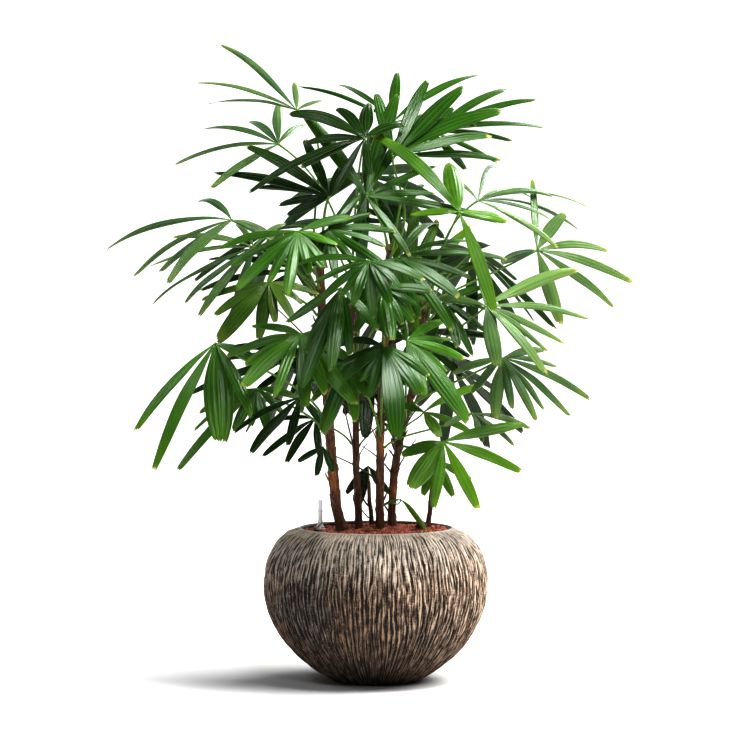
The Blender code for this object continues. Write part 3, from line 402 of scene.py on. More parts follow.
def grid_faces(rows, columns, ring=False):
    """Squares between neighbouring points of a grid of rows and columns; a ring's last column meets
    its first one."""
    index = np.arange(rows * columns).reshape(rows, columns)
    after = np.roll(index, -1, axis=1)
    if not ring:
        index, after = index[:, :-1], index[:, 1:]
    faces = np.stack([index[:-1], after[:-1], after[1:], index[1:]], axis=-1)
    return faces.reshape(-1, 4)


def pole_faces(rows, columns):
    """Triangles that close the first and last row of a ring grid with the two points after it."""
    first, last = np.arange(columns), (rows - 1) * columns + np.arange(columns)
    pole = np.full(columns, rows * columns)
    return np.concatenate([np.stack([np.roll(first, -1), first, pole], axis=1),
                           np.stack([last, np.roll(last, -1), pole + 1], axis=1)])


def repeated(faces, count, step):
    """The same faces for each of count shapes whose points are step apart."""
    return (faces[None] + (np.arange(count) * step)[:, None, None]).reshape(-1, faces.shape[1])


def mesh_piece(name, corners, squares, finish, nodes=(), triangles=None, values=None):
    """A piece from corners, squares and triangles, given as arrays, with values for each corner. It
    rides on the root, and where nodes are given it stands for them."""
    corners = np.asarray(corners, np.float32).reshape(-1, 3)
    squares = np.asarray(squares, np.int32).reshape(-1, 4)
    triangles = np.zeros((0, 3), np.int32) if triangles is None else np.asarray(triangles, np.int32)
    mesh = bpy.data.meshes.new(name)
    mesh.vertices.add(len(corners))
    mesh.vertices.foreach_set("co", corners.ravel())
    mesh.loops.add(squares.size + triangles.size)
    mesh.loops.foreach_set("vertex_index", np.concatenate([squares.ravel(), triangles.ravel()]))
    starts = np.concatenate([np.arange(len(squares)) * 4, squares.size + np.arange(len(triangles)) * 3])
    mesh.polygons.add(len(starts))
    mesh.polygons.foreach_set("loop_start", starts.astype(np.int32))
    mesh.polygons.foreach_set("use_smooth", np.ones(len(starts), bool))
    mesh.update(calc_edges=True)
    for key, numbers in (values or {}).items():
        numbers = np.asarray(numbers, np.float32)
        kind = "FLOAT" if numbers.ndim == 1 else "FLOAT_VECTOR"
        store = mesh.attributes.new(key, kind, "POINT")
        store.data.foreach_set("value" if numbers.ndim == 1 else "vector", numbers.ravel())
    mesh.materials.append(finish)
    made = bpy.data.objects.new(name, mesh)
    bpy.context.scene.collection.objects.link(made)
    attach(made, "root")
    if nodes:
        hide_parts(*nodes)


def tubes(paths, radii, sides, beside):
    """Closed round rods: at each point of a path, a ring of r (cos a, sin a) square to the path, and
    a point at either end. beside is a direction that lies across each path. Returns corners, squares
    and triangles."""
    count, steps = paths.shape[:2]
    along = made_long(np.gradient(paths, axis=1))
    across = made_long(beside[:, None] - along * (beside[:, None] * along).sum(-1, keepdims=True))
    over = np.cross(along, across)
    angles = np.arange(sides) * 2 * np.pi / sides
    ring = across[:, :, None] * np.cos(angles)[:, None] + over[:, :, None] * np.sin(angles)[:, None]
    body = paths[:, :, None] + ring * radii[:, :, None, None]
    ends = np.stack([paths[:, 0] - along[:, 0] * radii[:, :1] * 0.4,
                     paths[:, -1] + along[:, -1] * radii[:, -1:] * 0.4], axis=1)
    corners = np.concatenate([body.reshape(count, -1, 3), ends], axis=1)
    size = steps * sides + 2
    squares = repeated(grid_faces(steps, sides, ring=True), count, size)
    return corners.reshape(-1, 3), squares, repeated(pole_faces(steps, sides), count, size)


def turned_profile(profile, columns, centre=(0.0, 0.0)):
    """A turned closed body: each (radius, height) of the profile goes round the axis as
    (r cos a, r sin a, z); the first and last lie on the axis and close it."""
    profile = np.asarray(profile, float)
    angles = np.arange(columns) * 2 * np.pi / columns
    inner = profile[1:-1]
    ring = np.stack([np.outer(inner[:, 0], np.cos(angles)), np.outer(inner[:, 0], np.sin(angles)),
                     np.repeat(inner[:, 1:], columns, axis=1)], axis=-1)
    rows = len(inner)
    poles = np.array([(0, 0, profile[0, 1]), (0, 0, profile[-1, 1])])
    corners = np.concatenate([ring.reshape(-1, 3), poles]) + (*centre, 0)
    return corners, grid_faces(rows, columns, ring=True), pole_faces(rows, columns)


def turned_piece(name, profile, columns, finish, nodes=(), centre=(0.0, 0.0)):
    """A piece that is one turned profile."""
    corners, squares, caps = turned_profile(profile, columns, centre)
    mesh_piece(name, corners, squares, finish, nodes, caps)


def rounded(points, radius, steps=4):
    """A profile whose corners are rounded off: each inner corner becomes a short quadratic arc that
    starts and ends up to radius away from it."""
    points = np.asarray(points, float)
    made = [points[0]]
    for before, corner, after in zip(points, points[1:], points[2:]):
        back, on = before - corner, after - corner
        reach = min(radius, np.linalg.norm(back) * 0.45, np.linalg.norm(on) * 0.45)
        a, b = corner + back / np.linalg.norm(back) * reach, corner + on / np.linalg.norm(on) * reach
        t = np.linspace(0, 1, steps)[:, None]
        made.extend(a * (1 - t) ** 2 + corner * 2 * t * (1 - t) + b * t**2)
    made.append(points[-1])
    return np.array(made)


def along_route(route, heights):
    """Points of a smooth line through the route at these heights: each stretch is the cubic whose
    slopes at its ends are the mean slopes of its neighbours."""
    route = np.asarray(route, float) * CM
    z = route[:, 2]
    slopes = np.gradient(route[:, :2], z, axis=0)
    i = np.clip(np.searchsorted(z, heights) - 1, 0, len(z) - 2)
    span = (z[i + 1] - z[i])[:, None]
    t = ((heights - z[i]) / span[:, 0])[:, None]
    a, b = route[i, :2], route[i + 1, :2]
    ha, hb = slopes[i] * span, slopes[i + 1] * span
    flat = (a * (1 + 2 * t) * (1 - t) ** 2 + ha * t * (1 - t) ** 2
            + b * t**2 * (3 - 2 * t) + hb * t**2 * (t - 1))
    return np.concatenate([flat, np.asarray(heights)[:, None]], axis=1)


# Finishes.


class Nodes:
    """The nodes of a material or of the world, with short ways to add more."""

    def __init__(self, owner, shader="Principled BSDF"):
        owner.use_nodes = True
        self.owner = owner
        self.tree = owner.node_tree
        self.shader = self.tree.nodes[shader]

    def put(self, target, value):
        """Links an output to an input, or sets the input to a number or colour."""
        if isinstance(value, bpy.types.NodeSocket):
            self.tree.links.new(value, target)
        elif hasattr(value, "__len__") and len(value) == 3 and len(target.default_value) == 4:
            target.default_value = (*value, 1)
        else:
            target.default_value = value

    def set(self, **values):
        """Sets the shader's own inputs; an underline in a name stands for a space."""
        for key, value in values.items():
            self.put(self.shader.inputs[key.replace("_", " ")], value)

    def add(self, kind, inputs=None, **settings):
        """A new node with these settings and these values or links on its inputs."""
        node = self.tree.nodes.new("ShaderNode" + kind)
        for key, setting in settings.items():
            setattr(node, key, setting)
        for key, value in (inputs or {}).items():
            self.put(node.inputs[key], value)
        return node

    def scaled(self, vector, scale, turn=(0, 0, 0)):
        """A vector stretched by these factors, and turned."""
        inputs = {"Vector": vector, "Scale": scale, "Rotation": turn}
        return self.add("Mapping", inputs).outputs["Vector"]

    def place(self, scale=(1, 1, 1), turn=(0, 0, 0)):
        """The object's own coordinates, stretched and turned."""
        return self.scaled(self.add("TexCoord").outputs["Object"], scale, turn)

    def value(self, name, output="Fac"):
        """A number that the mesh keeps for each point, or with the output Vector a vector."""
        return self.add("Attribute", attribute_name=name).outputs[output]

    def parts(self, vector):
        """The three parts of a vector."""
        return self.add("SeparateXYZ", {"Vector": vector}).outputs

    def noise(self, scale, detail, vector=None, roughness=0.55, distortion=0.0):
        """Soft random clouds from 0 to 1."""
        inputs = {"Scale": scale, "Detail": detail, "Roughness": roughness, "Distortion": distortion}
        inputs["Vector"] = vector or self.place()
        return self.add("TexNoise", inputs).outputs["Fac"]

    def math(self, kind, *values):
        """One operation on up to three values."""
        return self.add("Math", dict(enumerate(values)), operation=kind).outputs[0]

    def times(self, first, second):
        """The product of two values."""
        return self.math("MULTIPLY", first, second)

    def plus(self, total, *others):
        """The sum of two or more values."""
        for value in others:
            total = self.math("ADD", total, value)
        return total

    def swing(self, value, size):
        """A value from 0 to 1 made to swing about zero: (value - 0.5) size."""
        return self.times(self.math("SUBTRACT", value, 0.5), size)

    def spread(self, value, low, high, to_low=0.0, to_high=1.0):
        """Stretches low..high to to_low..to_high, smoothly, and holds it there."""
        inputs = {"Value": value, "From Min": low, "From Max": high, "To Min": to_low, "To Max": to_high}
        return self.add("MapRange", inputs, interpolation_type="SMOOTHSTEP").outputs["Result"]

    def mix(self, share, first, second):
        """Two colours mixed."""
        return self.add("Mix", {0: share, 6: first, 7: second}, data_type="RGBA").outputs[2]

    def bump(self, height, distance):
        """Raises the surface by height times distance, in metres."""
        node = self.add("Bump", {"Strength": 1.0, "Distance": distance, "Height": height})
        self.set(Normal=node.outputs["Normal"])


def leaf_finish(name, colour, sizes):
    """A leaflet: ribs and fine veins along it, mottled green, lighter or darker by its tint, which is partly
    painted sunlight, a dry tip and a duller underside.
    """
    n = Nodes(bpy.data.materials.new(name))
    along, ribs, side = n.parts(n.value("blade", "Vector"))
    tint = n.value("tint")
    colour, rib_colour = np.array(colour), np.array(sizes.rib)
    clouds = n.noise(18, 5)
    fine = n.noise(140, 3)
    # Painted sunlight in part: a higher tint, which leaflets that point towards the sun get, mixes a lighter
    # green.
    green = n.mix(tint, colour * (0.42, 0.50, 0.55), colour * (1.75, 1.45, 1.10))
    green = n.mix(n.spread(clouds, 0.40, 0.75, 0.0, 0.45), green, colour * (1.6, 1.4, 0.9))
    green = n.mix(n.spread(clouds, 0.48, 0.25, 0.0, 0.40), green, colour * (0.40, 0.50, 0.60))
    wave = n.math("COSINE", n.times(ribs, 2 * math.pi))
    rib = n.spread(wave, 0.93, 1.0)
    green = n.mix(n.times(rib, 0.55), green, colour * 0.7 + rib_colour * 0.5)
    veins = n.math("SINE", n.times(ribs, 2 * math.pi * VEINS))
    green = n.mix(n.spread(veins, 0.2, 1.0, 0.0, 0.08), green, rib_colour)
    green = n.mix(n.spread(along, 0.0, 0.14, 0.5, 0.0), green, colour * (1.7, 1.5, 1.1))
    edge = n.plus(along, n.swing(fine, 0.06), n.swing(tint, 0.05))
    green = n.mix(n.spread(edge, 0.70, 1.0, 0.0, 0.55), green, colour * (2.6, 1.8, 0.9))
    dry = n.times(n.spread(edge, 0.950, 1.000), n.spread(tint, 0.20, 0.75, 0.10, 0.88))
    green = n.mix(dry, green, sizes.tip)
    under = colour * (0.9, 0.85, 1.0) + rib_colour * 0.08
    n.set(Base_Color=n.mix(n.times(side, 0.75), green, under))
    n.set(Roughness=n.plus(n.spread(clouds, 0.3, 0.8, 0.16, 0.26), n.times(side, 0.2)))
    n.set(IOR=1.45, Specular_IOR_Level=0.55)
    n.bump(n.plus(n.times(veins, 0.5), n.times(fine, 0.9)), 0.00006)
    return n.owner


def stalk_finish(name, colour):
    """A stalk: fine lengthwise streaks, yellower in the light, with brown spots."""
    n = Nodes(bpy.data.materials.new(name))
    streaks = n.noise(30, 3, n.place((9, 9, 0.8)))
    spots = n.noise(160, 2)
    colour = np.array(colour)
    green = n.mix(n.spread(streaks, 0.3, 0.7), colour * 0.6, colour * (1.4, 1.25, 1.0))
    brown = n.mix(n.spread(spots, 0.62, 0.75, 0, 0.5), green, (0.12, 0.07, 0.03))
    n.set(Base_Color=brown, Roughness=n.spread(streaks, 0.2, 0.8, 0.34, 0.5))
    n.bump(streaks, 0.0002)
    return n.owner


def bark_finish(name, sizes):
    """Fibrous sheath: dark red-brown threads along the cane, weathered pale on top, orange where peeled."""
    n = Nodes(bpy.data.materials.new(name))
    threads = n.noise(60, 5, n.place((7, 7, 0.55)), 0.7)
    woven = n.noise(60, 4, n.place((5, 5, 1.6), (0.35, 0.3, 0.2)), 0.65)
    patches = n.noise(22, 4)
    bark, orange = np.array(sizes.bark), np.array(sizes.peeled)
    colour = n.mix(n.spread(threads, 0.32, 0.66), bark * 0.28, bark * 1.25)
    colour = n.mix(n.spread(woven, 0.56, 0.74, 0, 0.6), colour, sizes.pale)
    colour = n.mix(n.spread(patches, 0.55, 0.75, 0, 0.6), colour, bark * (0.45, 0.5, 0.6))
    peeled = n.mix(n.spread(threads, 0.3, 0.7), orange * 0.45, orange)
    colour = n.mix(n.times(n.value("bare"), n.spread(patches, 0.3, 0.5, 0.55, 1.0)), colour, peeled)
    n.set(Base_Color=colour, Roughness=n.spread(threads, 0.2, 0.8, 0.92, 0.7))
    n.bump(n.plus(threads, n.times(woven, 0.5)), 0.0011)
    return n.owner


def fibre_finish(sizes):
    """Loose fibres, from nearly black to straw brown."""
    n = Nodes(bpy.data.materials.new("cane_fibres"))
    clouds = n.noise(120, 3)
    bark = np.array(sizes.bark)
    colour = n.mix(n.value("tint"), bark * 0.35, sizes.pale)
    colour = n.mix(n.spread(clouds, 0.5, 0.8, 0, 0.5), colour, bark * 0.5)
    n.set(Base_Color=colour, Roughness=n.spread(clouds, 0.2, 0.8, 0.65, 0.9))
    n.bump(clouds, 0.0002)
    return n.owner


def shell_finish(sizes):
    """The ridged wall: dark grooves, brown flanks and pale crests with wear, charcoal patches on the left
    that are partly painted shade, crests painted paler and greyer high on the right and across the top as
    painted highlight, painted shade low down and to the left, bright flecks that are partly painted glint,
    and a fine grain over everything."""
    n = Nodes(bpy.data.materials.new("ridged_shell"))
    ridge, lip = n.value("ridge"), n.value("lip")
    right, _, up = n.parts(n.place())
    streak = n.value("streak", "Vector")
    bark = n.noise(160, 4, n.scaled(streak, (1, 1, 0.085)), 0.66)
    threads = n.noise(440, 3, n.scaled(streak, (1, 1, 0.080)), 0.7)
    flecks = n.noise(620, 2, n.scaled(streak, (1, 1, 0.30)), 0.6)
    nicks = n.noise(330, 3, n.scaled(streak, (0.5, 0.5, 1.3)), 0.6)
    crumbs = n.noise(420, 4, None, 0.7)
    patches = n.noise(9, 4, n.place((1, 1, 0.8)), 0.6, 0.6)
    broad = n.noise(4.2, 3)
    crest, flank, char = np.array(sizes.crest), np.array(sizes.flank), np.array(sizes.char)

    wear_and_shade = n.plus(n.times(ridge, 0.56), n.times(bark, 0.85), n.swing(threads, 2.1), n.swing(nicks, 0.5))
    # Painted shade: the wear mask is lowered low down and to the left, away from the light, so the wall is
    # darker there.
    low = n.plus(up, n.times(right, 0.45))
    wear_and_shade = n.math("SUBTRACT", wear_and_shade, n.spread(low, 0.13, 0.25, 0.105, 0.0))
    colour = n.mix(n.spread(wear_and_shade, 0.44, 0.68), sizes.groove, flank)
    # Painted highlight: the crests are mixed paler and greyer to the right and high up, where the light
    # falls.
    light = n.plus(n.times(right, 1.5), n.times(up, 3.6), n.swing(broad, 1.0))
    crest_highlight = n.mix(n.spread(light, 0.25, 0.95), crest * (0.95, 0.78, 0.62), crest * (1.7, 1.78, 1.85))
    colour = n.mix(n.spread(wear_and_shade, 0.68, 1.02, 0, 1.0), colour, crest_highlight)

    # A charcoal patch on the left at mid height: partly the planter's own charcoal colour, partly painted
    # shade on the side away from the light.
    beside = n.times(n.math("ABSOLUTE", n.plus(right, 0.115)), -2.4)
    level = n.times(n.math("ABSOLUTE", n.math("SUBTRACT", up, 0.140)), -3.2)
    char_and_shade = n.spread(n.plus(beside, level, patches), 0.22, 0.46, 0.0, 0.85)
    black = n.mix(n.spread(wear_and_shade, 0.5, 0.98), char * 0.16, char * 4.8)
    colour = n.mix(char_and_shade, colour, black)
    colour = n.mix(n.spread(crumbs, 0.55, 0.75, 0, 0.3), colour, flank * 0.35)
    # Painted shade: the colour is mixed towards the groove colour low down, most on the left.
    low = n.plus(up, n.times(right, 0.22))
    colour = n.mix(n.spread(low, -0.02, 0.20, 0.34, 0.0), colour, sizes.groove)

    # Painted highlight: a pale wash over the upper crests, where light falls from above, a little more on the
    # left.
    top = n.plus(n.math("SUBTRACT", up, n.times(right, 0.10)),
                 n.times(n.math("SUBTRACT", wear_and_shade, 0.6), 0.05))
    pale = n.times(n.spread(top, 0.17, 0.265, 0.06, 0.68), n.spread(wear_and_shade, 0.52, 0.72, 0.15, 1.0))
    colour = n.mix(pale, colour, (0.66, 0.60, 0.54))
    # Bright flecks on the ridges: partly grit, partly painted glint.
    fleck_and_glint = n.times(n.spread(flecks, 0.60, 0.70, 0, 0.75), n.spread(ridge, 0.35, 0.8))
    colour = n.mix(fleck_and_glint, colour, np.minimum(crest * 1.75, 0.85))
    # The smooth rim: partly its own light colour, partly painted highlight.
    rim = n.mix(n.spread(crumbs, 0.3, 0.7), np.array(sizes.rim) * 0.6, sizes.rim)
    n.set(Base_Color=n.mix(lip, colour, rim), Roughness=n.spread(wear_and_shade, 0.4, 0.9, 0.92, 0.55))
    height = n.plus(n.times(bark, 1.0), n.times(threads, 0.5), n.times(nicks, 0.4), n.times(crumbs, 0.15))
    n.bump(height, 0.0060)
    return n.owner


def clay_finish(name, colour):
    """Fired clay: porous, each granule its own shade, dusty in places."""
    n = Nodes(bpy.data.materials.new(name))
    pores = n.noise(700, 4, None, 0.7)
    dust = n.noise(60, 3)
    colour = np.array(colour)
    clay = n.mix(n.value("tint"), colour * (0.48, 0.50, 0.55), colour * (1.42, 1.55, 1.65))
    clay = n.mix(n.spread(pores, 0.5, 0.72, 0, 0.6), clay, colour * 0.3)
    clay = n.mix(n.spread(dust, 0.55, 0.8, 0, 0.35), clay, colour * (1.3, 2.2, 2.7))
    n.set(Base_Color=clay, Roughness=n.spread(pores, 0.3, 0.7, 0.97, 0.82))
    n.bump(pores, 0.0007)
    return n.owner


def moulded_finish(name, colour, rough, sheen=0.0, clear=0.0):
    """Moulded plastic: faint mottling, fine scratches and dull patches."""
    n = Nodes(bpy.data.materials.new(name))
    clouds = n.noise(40, 4)
    scratches = n.noise(260, 3, n.place((1, 1, 0.12)), 0.7)
    colour = np.array(colour)
    tone = n.mix(n.spread(clouds, 0.3, 0.7), colour * 0.88, np.minimum(colour * 1.15, 0.95))
    tone = n.mix(n.spread(scratches, 0.62, 0.75, 0, 0.25), tone, np.minimum(colour * 1.5 + 0.03, 0.95))
    n.set(Base_Color=tone, Roughness=n.spread(clouds, 0.2, 0.8, rough - 0.06, rough + 0.1))
    n.set(Transmission_Weight=clear, Coat_Weight=sheen, Coat_Roughness=0.2)
    n.bump(n.plus(n.times(clouds, 0.3), scratches), 0.00015)
    return n.owner


# The leaves.


def unit_side(directions, faces):
    """Across a leaflet, to its right."""
    return made_long(np.cross(directions, faces))


def bent_blades(start, direction, face, length, droop, steps=FRAME_STEPS):
    """Middle lines that gravity bends: at share m of its length a blade heads along its first
    direction plus straight down times droop * m**1.3, and its face stays square to that."""
    points, headings, faces = [start], [direction], [face]
    for step in range(steps):
        pull = droop * ((step + 0.5) / steps) ** 1.3
        heading = made_long(direction - pull[:, None] * UP)
        face = made_long(face - heading * (face * heading).sum(-1, keepdims=True))
        points.append(points[-1] + heading * (length / steps)[:, None])
        headings.append(heading)
        faces.append(face)
    return np.stack(points, 1), np.stack(headings, 1), np.stack(faces, 1)


def seen_place(points):
    """How far right and up points look from the front."""
    share = -SEEN_FROM[1] / (points[:, 1] - SEEN_FROM[1])
    seen = SEEN_FROM + (points - SEEN_FROM) * share[:, None]
    return seen[:, [0, 2]]


def hub_of(shape):
    """A frond's hub and the upper face of its fan."""
    if "turn" in shape:
        turn, tilt = math.radians(shape["turn"]), math.radians(shape["tilt"])
        outward = np.array((math.cos(turn), math.sin(turn), 0.0))
        hub = outward * shape["out"] * CM + UP * shape["up"] * CM
        return hub, outward * math.sin(tilt) + UP * math.cos(tilt)
    right, away, up = (size * CM for size in shape["hub"])
    on_axis = np.array((right, 0.0, up))
    hub = SEEN_FROM + (on_axis - SEEN_FROM) * (away - SEEN_FROM[1]) / -SEEN_FROM[1]
    tilt, lean = math.radians(shape["tilt"]), math.radians(hub[0] * LEAN_PER_METRE)
    face = (math.sin(lean), -math.sin(tilt) * math.cos(lean), math.cos(tilt) * math.cos(lean))
    return hub, np.array(face)


def aimed_blades(tips, hubs, faces, droops, cups):
    """Directions and lengths of blades whose bent tips look to be where they should: each is aimed,
    bent and corrected by seven tenths of what it missed, sixteen times."""
    target = tips - seen_place(hubs)
    aim = target.copy()
    for _ in range(16):
        away = -(faces[:, 0] * aim[:, 0] + faces[:, 2] * aim[:, 1]) / faces[:, 1]
        flat = made_long(np.stack([aim[:, 0], away, aim[:, 1]], axis=1))
        length = np.minimum(np.linalg.norm(aim, axis=1) / np.hypot(flat[:, 0], flat[:, 2]), LONGEST_LEAFLET)
        direction = flat * np.cos(cups)[:, None] - faces * np.sin(cups)[:, None]
        end = bent_blades(hubs, direction, faces, length, droops)[0][:, -1]
        aim += (target - (seen_place(end) - seen_place(hubs))) * 0.7
    return direction, length


def circle_blades(shape, face):
    """Directions and lengths round a back frond's hub: longest outwards, shortest inwards."""
    turn, tilt = math.radians(shape["turn"]), math.radians(shape["tilt"])
    middle = np.array((math.cos(turn), math.sin(turn), 0.0)) * math.cos(tilt) - UP * math.sin(tilt)
    count = shape["count"]
    angles = np.radians(-125 + 250 * np.arange(count) / (count - 1))
    cups = np.radians(np.resize(CUPS, count))[:, None]
    axis = np.repeat(face[None], count, 0)
    direction = turned_about(middle * np.cos(cups) - face * np.sin(cups), axis, angles)
    return direction, shape["length"] * (0.72 + 0.28 * np.cos(angles)) * CM


def gathered_leaflets():
    """Every leaflet of the plant as rows of arrays, before the frame's solids are looked at."""
    rows = {key: [] for key in ("frond", "hub", "face", "direction", "length", "width", "droop")}
    for index, shape in enumerate(FRONDS):
        hub, face = hub_of(shape)
        if "turn" in shape:
            direction, length = circle_blades(shape, face)
            width = np.full(len(length), shape["width"] * CM)
        else:
            tips = shape["tips"]
            count = len(tips)
            width = np.array([t[2] if len(t) > 2 else shape["width"] for t in tips]) * CM
            cups = np.radians(np.resize(CUPS, count))
            direction, length = aimed_blades(
                np.array([t[:2] for t in tips]) * CM, np.repeat(hub[None], count, 0),
                np.repeat(face[None], count, 0), np.full(count, shape["droop"]), cups)
        count = len(length)
        rows["frond"].append(np.full(count, index))
        rows["hub"].append(np.repeat(hub[None], count, 0))
        rows["face"].append(np.repeat(face[None], count, 0))
        rows["direction"].append(direction)
        rows["length"].append(length)
        rows["width"].append(width)
        rows["droop"].append(np.full(count, shape["droop"]))
    return {key: np.concatenate(parts) for key, parts in rows.items()}


def in_way(leaves, way):
    """The leaflets turned in their fan, lifted out of it, shortened and narrowed."""
    turn, lift, length, width = way
    count = len(leaves["length"])
    direction = turned_about(leaves["direction"], leaves["face"], np.full(count, math.radians(turn)))
    across = np.cross(direction, leaves["face"])
    direction = turned_about(direction, across, np.full(count, math.radians(lift)))
    return {**leaves, "direction": direction, "face": np.cross(across, direction),
            "length": leaves["length"] * length, "width": leaves["width"] * width}


def node_corners(name):
    """The corners of a frame solid."""
    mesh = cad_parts[name].data
    corners = np.zeros(len(mesh.vertices) * 3)
    mesh.vertices.foreach_get("co", corners)
    return corners.reshape(-1, 3)


def furthest(corners, points):
    """For each row of points, the largest distance from one of them to its nearest corner."""
    gaps = np.linalg.norm(points[:, :, None] - corners[None, None], axis=-1)
    return gaps.min(axis=-1).max(axis=-1)


def fitted_leaflets(leaves):
    """Each leaflet in the way that its frame solid has it: the four corners of its tip are looked
    for among the solid's corners. Returns the leaflets and whether each one was found."""
    tried, misses = [], []
    solids = [node_corners(shape["name"] + "_frond") for shape in FRONDS]
    for way in WAYS:
        trial = in_way(leaves, way)
        points, headings, faces = bent_blades(
            trial["hub"], trial["direction"], trial["face"], trial["length"], trial["droop"])
        side = unit_side(headings[:, -1], faces[:, -1]) * (trial["width"] * FRAME_TIP_SHARE / 2)[:, None]
        lift = faces[:, -1] * FRAME_THICKNESS / 2
        tips = np.stack([points[:, -1] + a * side + b * lift for a in (1, -1) for b in (1, -1)], axis=1)
        miss = np.empty(len(tips))
        for index, solid in enumerate(solids):
            own = leaves["frond"] == index
            miss[own] = furthest(solid, tips[own])
        tried.append(trial)
        misses.append(miss)
    misses = np.array(misses)
    best = misses.argmin(axis=0)
    fitted = {key: np.stack([t[key] for t in tried])[best, np.arange(len(best))] for key in leaves}
    fitted["way"] = best
    return fitted, misses.min(axis=0)


def with_fillers(leaves):
    """The leaflets and some more: where a full frond has a wide gap between two neighbours in its
    fan, a shorter and narrower leaflet with their mean direction grows in it."""
    added = {key: [numbers] for key, numbers in leaves.items()}
    narrowest, widest = np.radians(FILLED_GAP)
    for index, shape in enumerate(FRONDS):
        if shape["name"] not in FULLER:
            continue
        own = np.flatnonzero(leaves["frond"] == index)
        face = made_long(leaves["face"][own].mean(axis=0))
        first = made_long(np.cross(face, (0.0, 1.0, 0.2)))
        headings = leaves["direction"][own]
        angle = np.arctan2(headings @ np.cross(face, first), headings @ first)
        order = np.argsort(angle)
        gap = (np.roll(angle[order], -1) - angle[order]) % (2 * np.pi)
        wide = (gap > narrowest) & (gap < widest)
        one, two = own[order][wide], own[np.roll(order, -1)][wide]
        for key, numbers in leaves.items():
            mean = (numbers[one] + numbers[two]) / 2
            if key in ("direction", "face"):
                mean = made_long(mean)
            added[key].append((mean * FILLER_SHARES.get(key, 1)).astype(numbers.dtype))
    return {key: np.concatenate(parts) for key, parts in added.items()}


def width_share(share):
    """Width along a leaflet: it rises as a sine to the widest place at 0.5, then narrows."""
    rise = np.clip(share / 0.5, 0, 1)
    grow = 0.10 + 0.90 * np.sin(rise * np.pi / 2) ** 1.25
    fall = np.clip((share - 0.5) / 0.5, 0, 1)
    return np.where(share < 0.5, grow, 1 - 0.60 * fall**2.3)


def sheet_faces(rows, columns, count):
    """Faces of count closed sheets: each is a grid, the same grid under it, and a rim between them."""
    size = rows * columns
    top = grid_faces(rows, columns)
    index = np.arange(size).reshape(rows, columns)
    border = np.concatenate([index[0], index[1:, -1], index[-1, -2::-1], index[-2:0:-1, 0]])
    after = np.roll(border, -1)
    rim = np.stack([border, border + size, after + size, after], axis=1)
    return repeated(np.concatenate([top, top[:, ::-1] + size, rim]), count, 2 * size)


def pleated_blades(leaves, folds, sizes, seed):
    """Leaflets as thin closed sheets. Over share u along and v across from -1 to 1, a point is
    middle line(u r(v)) + side v w(u) / 2 + face (fold(v) + arch(v)), where r(v) draws back between
    the teeth, fold is |sin|, so that the ribs are creases between long pillows, and arch lets the
    edges hang. The lower sheet is the same, one thickness down."""
    rng = np.random.default_rng(seed)
    count, rows, columns = len(leaves["length"]), 25, 4 * folds + 1
    middle, headings, faces = bent_blades(
        leaves["hub"], leaves["direction"], leaves["face"], leaves["length"], leaves["droop"], rows - 1)
    u = np.linspace(0, 1, rows)
    v = np.linspace(-1, 1, columns)

    def own(low, high):
        """A random number for each leaflet."""
        return rng.uniform(low, high, (count, 1, 1))

    notch = 0.5 - 0.5 * np.cos((v + 1) * folds * np.pi)
    uneven = rng.uniform(0.3, 1.0, (count, folds + 1))
    uneven = np.take(uneven, np.clip(((v + 1) * folds / 2 + 0.5).astype(int), 0, folds), axis=1)
    reach = 1 - sizes.tooth * (1 - notch)[None] * uneven - own(0.0, 0.05)[:, :, 0] * v**2
    reach -= own(-0.03, 0.03)[:, :, 0] * v
    drawn_back = (np.clip(reach, 0.85, 1.0) - 1)[:, None] * smooth_step(0.5, 1, u)[None, :, None]
    place = u[None, :, None] * (1 + drawn_back)
    low = np.clip((place * (rows - 1)).astype(int), 0, rows - 2)
    part = (place * (rows - 1) - low)[..., None]
    pick = np.arange(count)[:, None, None]
    centre = middle[pick, low] * (1 - part) + middle[pick, low + 1] * part
    face = made_long(faces[pick, low] * (1 - part) + faces[pick, low + 1] * part)
    heading = made_long(headings[pick, low] * (1 - part) + headings[pick, low + 1] * part)

    roll = np.broadcast_to(own(-0.32, 0.32) * place, place.shape)
    face = turned_about(face, heading, roll)
    side = unit_side(heading, face)
    half = leaves["width"][:, None, None] / 2 * width_share(place)
    sway = np.sin(place * np.pi * own(0.8, 1.7) + own(0, 6)) * own(0.0, 0.012)
    sway = sway * leaves["length"][:, None, None]
    wave = np.abs(np.sin((v + 1) * folds * np.pi / 2)) - 0.5
    fold = wave * half / folds * 2 * sizes.fold * smooth_step(0.02, 0.3, place) * (1 - 0.35 * place**3) * 2
    arch = -(0.6 * np.abs(v) + 0.4 * v**2) * half * own(-0.12, 0.50) * smooth_step(0, 0.4, place)
    flutter = (v**2) * np.sin(place * own(5, 10) + own(0, 6) + v * own(-1, 1)) * own(0.0, 0.0016)
    flutter = flutter * smooth_step(0.1, 0.5, place)
    centre = centre + side * (v * half + sway * smooth_step(0, 0.3, place))[..., None]
    upper = centre + face * (fold + arch + flutter)[..., None]
    lower = upper - face * sizes.thickness
    corners = np.stack([upper, lower], axis=1).reshape(count, -1, 3)

    blade = np.empty((count, 2, rows, columns, 3))
    blade[..., 0] = place[:, None]
    blade[..., 1] = (v + 1) * folds / 2
    blade[..., 2] = np.array((0.0, 1.0))[None, :, None, None]
    # Each leaflet's tint is partly random and partly painted sunlight: leaflets that point right, towards the
    # sun, get a higher tint and so a lighter green.
    sunlit = smooth_step(-0.5, 0.8, leaves["direction"][:, 0])
    tint = np.repeat(0.72 * rng.uniform(0, 1, count) + 0.28 * sunlit, 2 * rows * columns)
    return corners.reshape(-1, 3), sheet_faces(rows, columns, count), blade.reshape(-1, 3), tint


